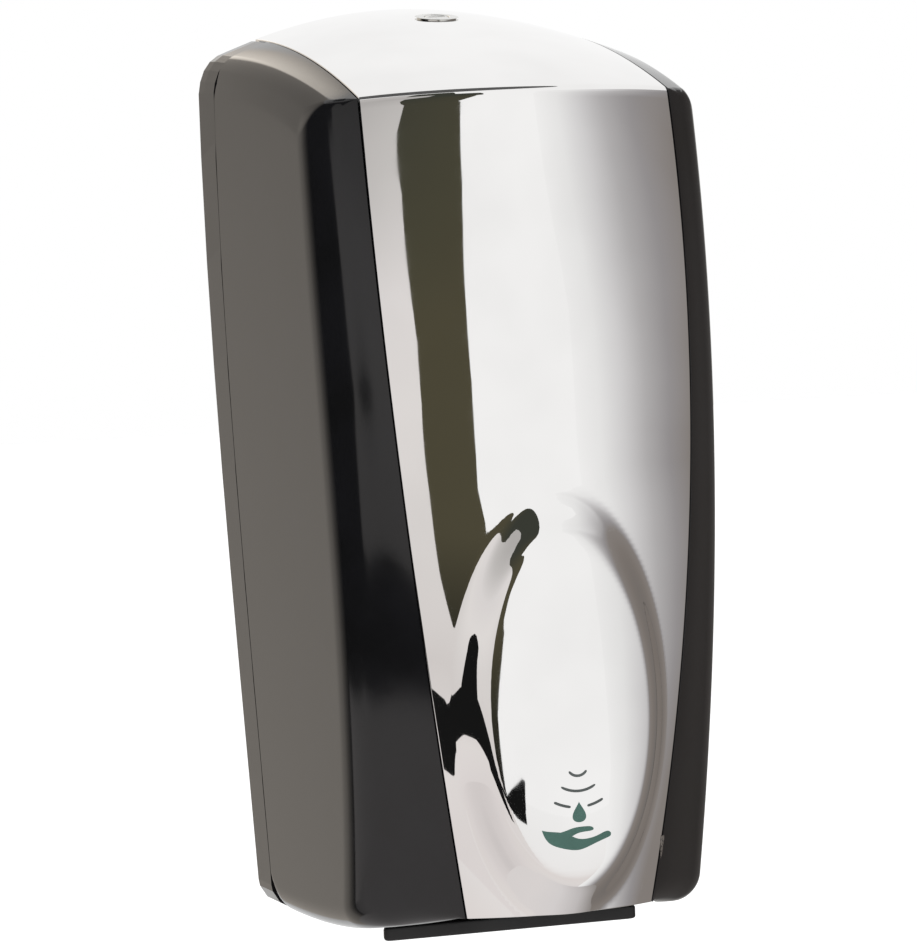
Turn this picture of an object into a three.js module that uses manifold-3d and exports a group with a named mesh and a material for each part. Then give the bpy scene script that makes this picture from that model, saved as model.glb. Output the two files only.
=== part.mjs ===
// Wall-mounted, touch-free foam soap dispenser, in millimetres.
// Origin: centre of the back plate's rear face, on the wall. +Z is up, the front faces -Y.
// Depths are distances forward of the wall, so a depth d lies at y = -d.
import * as THREE from 'three';
import { mergeVertices } from 'three/addons/utils/BufferGeometryUtils.js';
import Module from 'manifold-3d';

const wasm = await Module();
wasm.setup();

// Overall size
const width = 132;
const height = 277;
const depth = 133;
const halfWidth = width / 2;
const halfHeight = height / 2;

// Walls, gaps and cut allowances
const gap = 0.3;
const runningGap = 0.2;
const overrun = 20;
const weld = 0.001;

// Cover outline: values at four even heights, bottom to top, as shares of half the width or of the depth
const wallEdgeShares = [0.8356, 0.9146, 0.9787, 0.9955];
const cornerWidthShares = [0.8423, 0.8901, 0.9325, 0.9069];
const cornerDepthShares = [0.6694, 0.7671, 0.7418, 0.6431];
const seamWidthShares = [0.4125, 0.6175, 0.7234, 0.7204];
const seamDepthShares = [0.8573, 0.8931, 0.8403, 0.6911];
const frontDepthShares = [0.9096, 0.9351, 0.8989, 0.842];
const cornerRound = 9;
const bottomRound = 8;
const undersideRise = 10;
const undersideSetBack = 20;
const undersideFront = depth - undersideSetBack;
const undersideBulgeShare = 0.22;
const sideWall = 2.8;
const ledgeWall = 2.2;

// Roof: falls forward along a parabola and is arched from side to side
const roofSlope = 0.0502;
const roofCurve = 0.1984;
const archRear = 15.5;
const archFront = 12.6;
const eaveWidth = 6.5;
const eaveDrop = 12;
const eaveFlare = 60;
const eaveDrops = [24.5, 37];
const eaveHeights = eaveDrops.map((drop) => halfHeight - drop);
const eaveBulgeShares = [0.88, 0.24];

// Front panel, with its raised egg-shaped nose
const panelWall = 2.2;
const seamGap = 0.6;
const panelLedge = 7;
const panelRear = 1;
const noseHalfWidth = 33.6;
const noseHalfHeight = 64;
const noseTopHalfWidth = 24;
const noseTopHalfHeight = 47.5;
const noseRise = 72.5;
const noseHeightTop = 4.4;
const noseHeightBottom = 9.2;
const noseFootShare = 1.5;
const panelColumns = 18;
const noseRows = 16;
const plainRows = 6;
const roofRows = 4;

// Back plate and foot
const plateDepth = 13;
const plateSkin = 3;
const plateRim = 3;
const plateRib = 2.4;
const padRadius = 12;
const footDrop = 2;
const footHeight = 4.5;
const footInset = 25.8;
const footHalfWidth = halfWidth - footInset;
const footSetBack = 58.3;
const footFront = depth - footSetBack;
const footThick = 13;
const footWebInset = 3.25;
const footRound = 3;

// Cover hinge
const hingeRadius = 7;
const eyeRadius = 6;
const hingePinRadius = 2.5;
const hingePinHead = 2.5;
const hingePinHeadRadius = 3.5;
const hingeEarInner = 37;
const hingeEarOuter = 43;
const hingeLugInner = 44.5;
const hingePinOuter = 52;

// Chassis
const chassisWall = 2.6;
const chassisInset = 20;
const chassisHalfWidth = halfWidth - chassisInset;
const chassisTopDrop = 23.5;
const chassisTop = halfHeight - chassisTopDrop;
const shelfRise = 97.5;
const shelfHeight = -halfHeight + shelfRise;
const deckRise = 15.5;
const deckTop = -halfHeight + deckRise;
const deckUnder = deckTop - chassisWall;
const deckClear = 1.6;
const keeperShelfDepth = 34;
const keeperShelfHalfWidth = 22;

// Pump axis, ahead of the foot so that foam falls clear of it
const pumpSetBack = 47;
const pumpDepth = depth - pumpSetBack;
const travel = 9;

// Shapes and booleans

// A three.js geometry as a closed solid
function solid(geometry) {
  const bare = geometry.index ? geometry.toNonIndexed() : geometry.clone();
  bare.deleteAttribute('normal');
  bare.deleteAttribute('uv');
  const merged = mergeVertices(bare, weld);
  const kept = [];
  const index = merged.index.array;
  for (let i = 0; i < index.length; i += 3) {
    const [a, b, c] = index.subarray(i, i + 3);
    if (a !== b && b !== c && c !== a) kept.push(a, b, c);
  }
  const vertProperties = new Float32Array(merged.attributes.position.array);
  return new wasm.Manifold(new wasm.Mesh({ numProp: 3, vertProperties, triVerts: new Uint32Array(kept) }));
}

// A solid as a three.js geometry
function geometryOf(body) {
  const mesh = body.getMesh();
  const geometry = new THREE.BufferGeometry();
  geometry.setAttribute('position', new THREE.BufferAttribute(mesh.vertProperties, 3));
  geometry.setIndex(new THREE.BufferAttribute(mesh.triVerts, 1));
  const flat = geometry.toNonIndexed();
  flat.computeVertexNormals();
  return flat;
}

const join = (first, ...others) => others.reduce((body, other) => body.add(other), first);
const cut = (first, ...others) => others.reduce((body, other) => body.subtract(other), first);
const common = (first, ...others) => others.reduce((body, other) => body.intersect(other), first);

// Both ends of a range on one side of the middle, lower first
const ends = (side, inner, outer) => [side * inner, side * outer].sort((a, b) => a - b);

// A box from its ranges across, forward of the wall, and up
function block(xLow, xHigh, near, far, low, high) {
  const box = new THREE.BoxGeometry(xHigh - xLow, far - near, high - low);
  return solid(box.translate((xLow + xHigh) / 2, -(near + far) / 2, (low + high) / 2));
}

// An upright round bar, or a cone where the top radius differs
function upright(x, d, radius, low, high, sides = 20, topRadius = radius) {
  const bar = new THREE.CylinderGeometry(topRadius, radius, high - low, sides).rotateX(Math.PI / 2);
  return solid(bar.translate(x, -d, (low + high) / 2));
}

// A round bar across the part
function crossbar(d, z, radius, xLow, xHigh, sides = 16) {
  const bar = new THREE.CylinderGeometry(radius, radius, xHigh - xLow, sides).rotateZ(-Math.PI / 2);
  return solid(bar.translate((xLow + xHigh) / 2, -d, z));
}

// A round bar that points forward; a cone where the front radius differs
function forward(x, z, radius, near, far, sides = 14, frontRadius = radius) {
  const bar = new THREE.CylinderGeometry(radius, frontRadius, far - near, sides);
  return solid(bar.translate(x, -(near + far) / 2, z));
}

// A plan outline (x, y) raised from one height to another
function raised(shape, low, high, bevel = 0) {
  const settings = { depth: high - low - 2 * bevel, bevelEnabled: bevel > 0, curveSegments: 5 };
  const edge = { bevelThickness: bevel, bevelSize: bevel, bevelOffset: -bevel, bevelSegments: 3 };
  const plan = new THREE.ExtrudeGeometry(shape, { ...settings, ...edge });
  return solid(plan.translate(0, 0, low + bevel));
}

// A front outline (x, z) carried forward from one depth to another
function frontal(shape, near, far) {
  const settings = { depth: far - near, bevelEnabled: false, curveSegments: 5 };
  const form = new THREE.ExtrudeGeometry(shape, settings);
  return solid(form.rotateX(Math.PI / 2).translate(0, -near, 0));
}

// A side outline (depth, z) carried across from one x to another
function sideways(shape, xLow, xHigh) {
  const settings = { depth: xHigh - xLow, bevelEnabled: false, curveSegments: 8 };
  const form = new THREE.ExtrudeGeometry(shape, settings);
  const turn = new THREE.Matrix4().makeBasis(
    new THREE.Vector3(0, -1, 0),
    new THREE.Vector3(0, 0, 1),
    new THREE.Vector3(-1, 0, 0),
  );
  return solid(form.applyMatrix4(turn).translate(xHigh, 0, 0));
}

// A rectangle with rounded corners
function roundedRect(xLow, xHigh, yLow, yHigh, radius) {
  const shape = new THREE.Shape();
  shape.moveTo(xLow + radius, yLow);
  shape.lineTo(xHigh - radius, yLow);
  shape.absarc(xHigh - radius, yLow + radius, radius, -Math.PI / 2, 0);
  shape.lineTo(xHigh, yHigh - radius);
  shape.absarc(xHigh - radius, yHigh - radius, radius, 0, Math.PI / 2);
  shape.lineTo(xLow + radius, yHigh);
  shape.absarc(xLow + radius, yHigh - radius, radius, Math.PI / 2, Math.PI);
  shape.lineTo(xLow, yLow + radius);
  shape.absarc(xLow + radius, yLow + radius, radius, Math.PI, 1.5 * Math.PI);
  return shape;
}

// A revolved profile of [radius, height] pairs about an upright axis
function revolved(x, d, profile, sides = 24) {
  const points = profile.map(([r, z]) => new THREE.Vector2(r, z));
  const form = new THREE.LatheGeometry(points, sides).rotateX(Math.PI / 2);
  return solid(form.translate(x, -d, 0));
}

// A skin over closed loops of equally many points, with flat ends
function loft(loops) {
  const count = loops[0].length;
  const positions = loops.flat().flatMap((p) => [p.x, p.y, p.z]);
  const index = [];
  for (let row = 0; row + 1 < loops.length; row++) {
    for (let i = 0; i < count; i++) {
      const next = (i + 1) % count;
      const a = row * count + i;
      const b = row * count + next;
      index.push(a, b, b + count, a, b + count, a + count);
    }
  }
  const flat = loops[0].map((p) => new THREE.Vector2(p.u, p.v));
  const faces = THREE.ShapeUtils.triangulateShape(flat, []);
  const top = (loops.length - 1) * count;
  for (const [a, b, c] of faces) {
    index.push(a, c, b);
    index.push(top + a, top + b, top + c);
  }
  const geometry = new THREE.BufferGeometry();
  geometry.setAttribute('position', new THREE.Float32BufferAttribute(positions, 3));
  geometry.setIndex(index);
  return solid(geometry);
}

// Cover surfaces

// Smooth value at a height, from shares at four even heights
function atHeight(shares, z) {
  const t = (3 * (z + halfHeight)) / height;
  const [a, b, c, d] = shares;
  const first = (-a * (t - 1) * (t - 2) * (t - 3)) / 6 + (b * t * (t - 2) * (t - 3)) / 2;
  return first - (c * t * (t - 1) * (t - 3)) / 2 + (d * t * (t - 1) * (t - 2)) / 6;
}

const coverBottom = -halfHeight + footDrop;

// How far the sides draw in where the bottom edge is rounded, on a surface moved inward by a distance
function bottomDraw(z, inset) {
  const radius = bottomRound - inset;
  const fall = THREE.MathUtils.clamp(coverBottom + bottomRound - z, 0, radius);
  return radius - Math.sqrt(radius ** 2 - fall ** 2);
}

const seamHalfWidth = (z) => halfWidth * atHeight(seamWidthShares, z);
const seamDepth = (z) => depth * atHeight(seamDepthShares, z);
const frontDepth = (z) => depth * atHeight(frontDepthShares, z);
const cornerHalfWidth = (z) => halfWidth * atHeight(cornerWidthShares, z);
const wallHalfWidth = (z) => halfWidth * atHeight(wallEdgeShares, z);

// Depth of the plain front at a place, without the nose
function plainFront(x, z) {
  const across = x / seamHalfWidth(z);
  return seamDepth(z) + (frontDepth(z) - seamDepth(z)) * (1 - across ** 2);
}

const noseCentre = -halfHeight + noseRise;

// Height of the nose over the plain front: flat-topped, with a smooth slope between two ellipses.
// The slope is steeper near its foot.
function nose(x, z) {
  const up = z - noseCentre;
  const reach = Math.hypot(x / noseHalfWidth, up / noseHalfHeight);
  const inner = Math.hypot(x / noseTopHalfWidth, up / noseTopHalfHeight);
  const slope = THREE.MathUtils.clamp((inner - 1) / (inner - reach || 1), 0, 1) ** noseFootShare;
  const fade = 1 - slope * slope * (3 - 2 * slope);
  const along = THREE.MathUtils.clamp((noseTopHalfHeight - up) / (2 * noseTopHalfHeight), 0, 1);
  return fade * THREE.MathUtils.lerp(noseHeightTop, noseHeightBottom, along);
}

// Height of the roof at a place
function roof(x, d) {
  const arch = THREE.MathUtils.lerp(archRear, archFront, d / depth);
  return halfHeight - roofSlope * d - (roofCurve * d * d) / depth - arch * (x / halfWidth) ** 2;
}

const frontShares = [0.6, 0];
const mitreShare = 0.5;

// Points of half a horizontal section, from the wall edge to the middle of the front
function halfSection(z, inset) {
  const draw = bottomDraw(z, inset);
  const wall = new THREE.Vector2(wallHalfWidth(z) - draw, 0);
  const corner = new THREE.Vector2(cornerHalfWidth(z) - draw, depth * atHeight(cornerDepthShares, z));
  const seam = new THREE.Vector2(seamHalfWidth(z), seamDepth(z));
  const back = wall.clone().sub(corner).setLength(cornerRound).add(corner);
  const ahead = seam.clone().sub(corner).setLength(cornerRound).add(corner);
  const turn = new THREE.QuadraticBezierCurve(back, corner, ahead).getPoints(3);
  const front = frontShares.map((share) => new THREE.Vector2(seam.x * share, plainFront(seam.x * share, z)));
  return [wall, ...turn, seam, ...front];
}

// A closed section at a height, moved inward by a distance, from behind the wall to the front
function section(z, inset, row = z) {
  const half = halfSection(row, inset);
  const tail = new THREE.Vector2(half[0].x, -overrun);
  const right = [tail, ...half];
  const left = right.slice(0, -1).reverse().map((p) => new THREE.Vector2(-p.x, p.y));
  const outline = [...right, ...left];
  const moved = outline.map((p, i) => {
    const before = outline[Math.max(i - 1, 0)];
    const after = outline[Math.min(i + 1, outline.length - 1)];
    const into = p.clone().sub(before).normalize();
    const out = after.clone().sub(p).normalize();
    if (i === 0) into.copy(out);
    if (i === outline.length - 1) out.copy(into);
    const along = into.clone().add(out).normalize();
    const reach = inset / Math.max(along.dot(into), mitreShare);
    return new THREE.Vector2(p.x - along.y * reach, p.y + along.x * reach);
  });
  return moved.map((p) => Object.assign(new THREE.Vector3(p.x, -p.y, z), { u: p.x, v: -p.y }));
}

const roundSteps = 3;
const bodySteps = 9;

// Heights of the sections: close together in the rounded bottom, even above it
function sectionHeights(low, high) {
  const rounded = Array.from({ length: roundSteps }, (_, i) => {
    const turn = ((i + 0.5) / roundSteps) * (Math.PI / 2);
    return low + bottomRound * (1 - Math.cos(turn));
  });
  const even = Array.from({ length: bodySteps + 1 }, (_, i) => {
    return low + bottomRound + ((high - low - bottomRound) * i) / bodySteps;
  });
  return [...rounded, ...even];
}

// The upright form of the cover, without its roof
function walls(inset) {
  const heights = sectionHeights(coverBottom, halfHeight + overrun);
  const loops = heights.map((z) => section(z, inset, Math.min(z, halfHeight)));
  if (inset > 0) loops.unshift(section(coverBottom - overrun, inset, coverBottom));
  return loft(loops.map((loop) => loop.reverse()));
}

// Half-width of the eaves at a depth: in line with the sides just below them
function eaveHalfWidth(d) {
  const [rear, front] = eaveHeights;
  const cornerDepth = depth * atHeight(cornerDepthShares, front);
  return THREE.MathUtils.lerp(wallHalfWidth(rear), cornerHalfWidth(front), d / cornerDepth);
}

// The space under the roof, arched and with rounded eaves; below them it flares out past the walls
function underRoof(inset) {
  const stations = Array.from({ length: 8 }, (_, i) => -overrun + ((depth + 2 * overrun) * i) / 7);
  const loops = stations.map((d) => {
    const side = eaveHalfWidth(d);
    const edge = side - eaveWidth;
    const top = (x) => roof(x, d) - inset;
    const eave = new THREE.QuadraticBezierCurve(
      new THREE.Vector2(edge, top(edge)),
      new THREE.Vector2(edge + eaveWidth * eaveBulgeShares[0], top(edge) - eaveDrop * eaveBulgeShares[1]),
      new THREE.Vector2(side - inset, top(edge) - eaveDrop),
    ).getPoints(4);
    const arch = [0, 0.25, 0.5, 0.75].map((share) => new THREE.Vector2(edge * share, top(edge * share)));
    const low = new THREE.Vector2(side + eaveFlare, -halfHeight - 2 * overrun);
    const half = [...arch, ...eave, low];
    const mirror = half.slice(1).reverse().map((p) => new THREE.Vector2(-p.x, p.y));
    const outline = [...mirror, ...half];
    return outline.map((p) => Object.assign(new THREE.Vector3(p.x, -d, p.y), { u: p.x, v: p.y }));
  });
  return loft(loops.map((loop) => loop.reverse()));
}

// The whole outer form of plate and cover, moved inward by a distance
const form = (inset) => common(walls(inset), underRoof(inset));

// The upright band that the front panel fills, wider or narrower by a margin
function panelBand(margin) {
  const heights = Array.from({ length: bodySteps + 1 }, (_, i) => {
    return -halfHeight - overrun + ((height + 2 * overrun) * i) / bodySteps;
  });
  const loops = heights.map((z) => {
    const half = seamHalfWidth(THREE.MathUtils.clamp(z, -halfHeight, halfHeight)) + margin;
    const corners = [[-half, depth + overrun], [half, depth + overrun], [half, -overrun], [-half, -overrun]];
    return corners.map(([x, d]) => Object.assign(new THREE.Vector3(x, -d, z), { u: x, v: -d }));
  });
  return loft(loops);
}

// Cover

const coverRear = plateDepth + gap;
const hingeDepth = coverRear + hingeRadius;
const hingeHeight = coverBottom + hingeRadius;
const panelSeat = panelWall + gap;
const carrierInset = panelSeat + ledgeWall;
const panelBottom = coverBottom + undersideRise;

// Side view of the cover: round about the hinge at the lower rear, its underside sweeping up to the front
function coverSide() {
  const run = undersideFront - hingeDepth;
  const shape = new THREE.Shape();
  shape.moveTo(coverRear, halfHeight + overrun);
  shape.lineTo(coverRear, hingeHeight);
  shape.absarc(hingeDepth, hingeHeight, hingeRadius, Math.PI, 1.5 * Math.PI);
  shape.bezierCurveTo(
    hingeDepth + run / 3,
    coverBottom,
    hingeDepth + (2 * run) / 3,
    coverBottom + undersideRise * undersideBulgeShare,
    undersideFront,
    panelBottom,
  );
  shape.lineTo(depth + overrun, panelBottom);
  shape.lineTo(depth + overrun, halfHeight + overrun);
  return sideways(shape, -halfWidth - overrun, halfWidth + overrun);
}

// Lock: its axis stands square to the roof
const lockDepth = 34;
const lockTilt = Math.atan(roofSlope + (2 * roofCurve * lockDepth) / depth);
const lockHeadRadius = 6.75;
const lockBarrelRadius = 6;
const lockHeadRise = 0.5;
const lockBarrelLength = 14;
const lockPlugRadius = 3.6;

// Puts a shape made about the origin on the lock's axis
function onLockAxis(body) {
  const turned = geometryOf(body).rotateX(lockTilt).translate(0, -lockDepth, roof(0, lockDepth));
  return solid(turned);
}

const lockHole = onLockAxis(upright(0, 0, lockBarrelRadius + gap, -lockBarrelLength, overrun));

const indicatorInner = 31.7;
const indicatorOuter = 34.3;
const indicatorRise = 24.7;
const indicatorTall = 7;
const indicatorLow = -halfHeight + indicatorRise;
const indicatorHigh = indicatorLow + indicatorTall;
const indicatorThick = 2;

// The slot for the small indicator beside the panel's lower right edge
const indicatorSlot = (margin) =>
  block(
    indicatorInner - margin,
    indicatorOuter + margin,
    depth / 2,
    depth + overrun,
    indicatorLow - margin,
    indicatorHigh + margin,
  );

const windowTopDrop = 38.5;
const windowTop = halfHeight - windowTopDrop;
const windowBottomRise = 9;

// Black outer shell: sides, facets, the ledge that carries the panel, and the hinge lugs
function coverShell() {
  const lug = (side) => {
    return crossbar(hingeDepth, hingeHeight, eyeRadius, ...ends(side, hingeLugInner, halfWidth));
  };
  const outer = form(0);
  const sides = cut(form(sideWall), panelBand(ledgeWall));
  const seat = cut(panelBand(0), form(panelSeat));
  const open = common(
    panelBand(-panelLedge),
    block(-halfWidth, halfWidth, depth / 2, depth + overrun, panelBottom + windowBottomRise, windowTop),
  );
  const hollow = cut(outer, sides, form(carrierInset), seat, open);
  const lugs = join(lug(-1), lug(1));
  const pinHole = crossbar(hingeDepth, hingeHeight, hingePinRadius + runningGap, -halfWidth, halfWidth);
  const pinStop = crossbar(hingeDepth, hingeHeight, hingePinRadius * 2, -hingePinOuter, hingePinOuter);
  const shell = common(join(hollow, common(lugs, outer)), coverSide());
  const reach = hingePinOuter + gap;
  const bores = common(pinHole, block(-reach, reach, 0, depth, -halfHeight, halfHeight));
  return cut(shell, bores, lockHole, indicatorSlot(gap));
}

// One point of the panel's outer face: rows rise up the front to the crease, then run back over the roof
function panelPoint(column, row) {
  const share = (2 * column) / panelColumns - 1;
  const xAt = (z) => share * (seamHalfWidth(z) - seamGap / 2);
  const front = (z) => plainFront(xAt(z), z) + nose(xAt(z), z);
  let crease = halfHeight - archRear;
  for (let i = 0; i < 12; i++) crease = roof(xAt(crease), front(crease));
  const noseTop = noseCentre + noseHalfHeight;
  if (row <= noseRows + plainRows) {
    const low = row <= noseRows ? panelBottom : noseTop;
    const high = row <= noseRows ? noseTop : crease;
    const t = row <= noseRows ? row / noseRows : (row - noseRows) / plainRows;
    const z = THREE.MathUtils.lerp(low, high, t);
    return new THREE.Vector3(xAt(z), -front(z), z);
  }
  const d = THREE.MathUtils.lerp(front(crease), panelRear, (row - noseRows - plainRows) / roofRows);
  const across = xAt(roof(xAt(crease), d));
  return new THREE.Vector3(across, -d, roof(across, d));
}

const creaseRow = noseRows + plainRows;
const lastRow = creaseRow + roofRows;

// Direction out of the panel at a grid point, from its neighbours between two rows
function panelNormal(grid, row, column, low, high) {
  const up = grid[Math.min(row + 1, high)][column].clone().sub(grid[Math.max(row - 1, low)][column]);
  const left = Math.max(column - 1, 0);
  const right = Math.min(column + 1, panelColumns);
  const across = grid[row][right].clone().sub(grid[row][left]);
  return across.cross(up).normalize();
}

// The panel's inner face: each outer point moved in by the wall, mitred along the crease
function panelInner(outer) {
  const inner = outer.map((line, row) =>
    line.map((point, column) => {
      const front = panelNormal(outer, Math.min(row, creaseRow), column, 0, creaseRow);
      const top = panelNormal(outer, Math.max(row, creaseRow), column, creaseRow, lastRow);
      const normal = row < creaseRow ? front : top;
      if (row === creaseRow) normal.add(front).divideScalar(1 + front.dot(top));
      return point.clone().addScaledVector(normal, -panelWall);
    }),
  );
  for (const point of inner[0]) point.z = panelBottom;
  for (const point of inner[lastRow]) point.y = -panelRear;
  return inner;
}

// Triangles of both faces of a sheet and of its four edges, its inner points numbered after its outer ones
function sheetFaces(rows, columns) {
  const count = columns + 1;
  const behind = (rows + 1) * count;
  const index = [];
  const quad = (a, b, c, d) => index.push(a, b, c, a, c, d);
  for (let row = 0; row < rows; row++) {
    for (let column = 0; column < columns; column++) {
      const a = row * count + column;
      quad(a, a + 1, a + 1 + count, a + count);
      quad(a + behind, a + behind + count, a + behind + count + 1, a + behind + 1);
    }
    const first = row * count;
    const last = first + columns;
    quad(first, first + count, first + count + behind, first + behind);
    quad(last, last + behind, last + behind + count, last + count);
  }
  for (let column = 0; column < columns; column++) {
    const top = rows * count + column;
    quad(column, column + behind, column + 1 + behind, column + 1);
    quad(top, top + 1, top + 1 + behind, top + behind);
  }
  return index;
}

// Bright front panel: one folded sheet with a raised nose, closed all round its edge
function frontPanel() {
  const outer = Array.from({ length: lastRow + 1 }, (_, row) => {
    return Array.from({ length: panelColumns + 1 }, (_, column) => panelPoint(column, row));
  });
  const geometry = new THREE.BufferGeometry().setFromPoints([...outer.flat(), ...panelInner(outer).flat()]);
  geometry.setIndex(sheetFaces(lastRow, panelColumns));
  return cut(solid(geometry), lockHole, indicatorSlot(gap));
}

const indicatorLens = () => cut(common(form(gap), indicatorSlot(0)), form(gap + indicatorThick));

// Back plate

const screwAcross = 34;
const screwTopDrop = 50.5;
const screwRise = 110.5;
const screwHighs = [halfHeight - screwTopDrop, -halfHeight + screwRise];
const screwShank = 2.2;
const screwHeadRadius = 4.2;
const screwHeadThick = 2.2;
const screwSlotWidth = 1.1;
const screwSlotDepth = 0.88;
const screwBossRadius = 6;
const ribAcross = 24;
const ribWeld = 1;

const screwSpots = screwHighs.flatMap((z) => [[-screwAcross, z], [screwAcross, z]]);

// Wall plate: a skin and rim, open to the wall, with ribs, a centre pad and screw bosses
function backPlate() {
  const slab = common(form(0), block(-halfWidth, halfWidth, 0, plateDepth, coverBottom, halfHeight));
  const overhang = cut(panelBand(seamGap / 2), form(panelSeat));
  const plate = cut(slab, overhang);
  const rim = panelSeat + plateRim;
  const pocket = common(
    form(rim),
    block(-halfWidth, halfWidth, -overrun, plateDepth - plateSkin, coverBottom + plateRim, halfHeight),
  );
  const within = common(
    form(rim - ribWeld),
    block(-halfWidth, halfWidth, 0, plateDepth - ribWeld, coverBottom + ribWeld, halfHeight),
  );
  const half = plateRib / 2;
  const stiles = [-ribAcross, ribAcross].map((x) => {
    return block(x - half, x + half, 0, plateDepth, -halfHeight, halfHeight);
  });
  const rails = screwHighs.map((z) => block(-halfWidth, halfWidth, 0, plateDepth, z - half, z + half));
  const pad = forward(0, 0, padRadius, 0, plateDepth);
  const bosses = screwSpots.map(([x, z]) => forward(x, z, screwBossRadius, 0, plateDepth));
  const holes = screwSpots.map(([x, z]) => forward(x, z, screwShank + runningGap, -overrun, depth));
  const inside = common(join(pad, ...stiles, ...rails, ...bosses), within);
  return cut(join(cut(plate, pocket), inside), ...holes);
}

// Chassis

const spineRear = plateDepth + gap;
const spineFront = spineRear + chassisWall;
const shelfSetBack = 35;
const shelfFront = depth - shelfSetBack;
const shelfRound = 6;
const neckRadius = 14.5;
const gussetAcross = [10, 42];
const gussetReach = 44;
const gussetDrop = 18;
const shroudRadius = 10.6;
const rodAcross = 24;
const rodRadius = 2;
const socketRadius = 4;
const socketHeight = 4;
const windowHalfWidth = 19;
const windowSetBack = 33.5;
const windowDeep = 7;
const windowNear = depth - windowSetBack;
const windowFar = windowNear + windowDeep;
const boardNear = 50;
const boardSetBack = 2;
const boardFar = pumpDepth - boardSetBack;
const boardInset = 2;
const boardInner = chassisHalfWidth - boardInset;
const boardThick = 1.6;
const boardPost = 3;
const boardPostHeight = 16;
const lugClear = 1.5;
const rearCornerRise = 5;

// Spine of the chassis, with its four screw holes
function chassisSpine() {
  const outline = roundedRect(-chassisHalfWidth, chassisHalfWidth, deckUnder, chassisTop, shelfRound);
  const holes = screwSpots.map(([x, z]) => forward(x, z, screwShank + runningGap, 0, spineFront + gap));
  return cut(frontal(outline, spineRear, spineFront), ...holes);
}

// Lower deck: the cover's own section moved in, notched at the rear for the cover's hinge lugs
function chassisDeck() {
  const loop = section(deckTop, carrierInset + deckClear).reverse();
  const floor = raised(new THREE.Shape(loop.map((p) => new THREE.Vector2(p.u, p.v))), deckUnder, deckTop);
  const ahead = block(-halfWidth, halfWidth, spineRear, depth, -halfHeight, halfHeight);
  const clear = hingeDepth + hingeRadius + lugClear;
  const notches = [-1, 1].map((side) => {
    const [low, high] = ends(side, hingeEarOuter + gap, halfWidth);
    return block(low, high, 0, clear, -halfHeight, deckTop + rearCornerRise);
  });
  return cut(common(floor, ahead), ...notches);
}

// Shelf that carries the refill by its shoulder, slotted to the front for the neck
function chassisShelf() {
  const outline = roundedRect(-chassisHalfWidth, chassisHalfWidth, -shelfFront, -spineRear, shelfRound);
  const half = neckRadius + 2 * gap;
  return cut(
    raised(outline, shelfHeight - chassisWall, shelfHeight),
    upright(0, pumpDepth, half, -halfHeight, halfHeight),
    block(-half, half, pumpDepth, depth, -halfHeight, halfHeight),
  );
}

// A gusset between spine and shelf
function chassisGusset(x) {
  const under = shelfHeight - chassisWall;
  const shape = new THREE.Shape();
  shape.moveTo(spineRear, under + chassisWall / 2);
  shape.lineTo(spineRear, under - gussetDrop);
  shape.lineTo(spineFront, under - gussetDrop);
  shape.quadraticCurveTo(spineFront + gussetReach / 4, under - gussetDrop / 4, gussetReach, under);
  shape.lineTo(gussetReach, under + chassisWall / 2);
  return sideways(shape, x, x + chassisWall);
}

// A hinge ear: an eye round the pin, and the root that joins it to the deck
function hingeEar(side) {
  const [low, high] = ends(side, hingeEarInner, hingeEarOuter);
  const eye = crossbar(hingeDepth, hingeHeight, eyeRadius, low, high);
  return join(eye, block(low, high, hingeDepth - eyeRadius, hingeDepth + eyeRadius, hingeHeight, deckTop));
}

// A grooved post for one edge of the circuit board, from its near side and the groove's range
function boardPostAt(near, grooveNear, grooveFar) {
  const outer = boardInner + boardThick + boardPost;
  const far = near + boardPost;
  const post = block(boardInner - boardPost, outer, near, far, deckUnder, deckTop + boardPostHeight);
  const groove = [boardInner - gap, boardInner + boardThick + gap, grooveNear, grooveFar];
  return cut(post, block(...groove, deckTop, deckTop + overrun));
}

// Chassis: spine, refill shelf with gussets, lower deck, hinge ears, sockets and the shelf for the keeper
function chassis() {
  const keeperShelf = block(
    -keeperShelfHalfWidth,
    keeperShelfHalfWidth,
    spineRear,
    keeperShelfDepth,
    chassisTop - chassisWall,
    chassisTop,
  );
  const sockets = [-rodAcross, rodAcross].map((x) => {
    return upright(x, pumpDepth, socketRadius, deckUnder, deckTop + socketHeight);
  });
  const rodHoles = [-rodAcross, rodAcross].map((x) => {
    return upright(x, pumpDepth, rodRadius + runningGap, deckTop, deckTop + overrun);
  });
  const farPost = boardFar - boardPost;
  const body = join(
    chassisSpine(),
    chassisDeck(),
    chassisShelf(),
    keeperShelf,
    ...gussetAcross.map(chassisGusset),
    hingeEar(-1),
    hingeEar(1),
    ...sockets,
    boardPostAt(boardNear, boardNear + boardPost / 2, boardNear + overrun),
    boardPostAt(farPost, farPost - overrun, farPost + boardPost / 2),
  );
  const pinBore = crossbar(hingeDepth, hingeHeight, hingePinRadius + runningGap, -halfWidth, halfWidth);
  const nozzleHole = upright(0, pumpDepth, shroudRadius + gap, -halfHeight, deckTop + chassisWall);
  const windowEnds = [-windowHalfWidth, windowHalfWidth, windowNear, windowFar];
  const windowHole = block(...windowEnds, -halfHeight, deckTop + chassisWall);
  return cut(body, pinBore, nozzleHole, windowHole, ...rodHoles);
}

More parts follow.
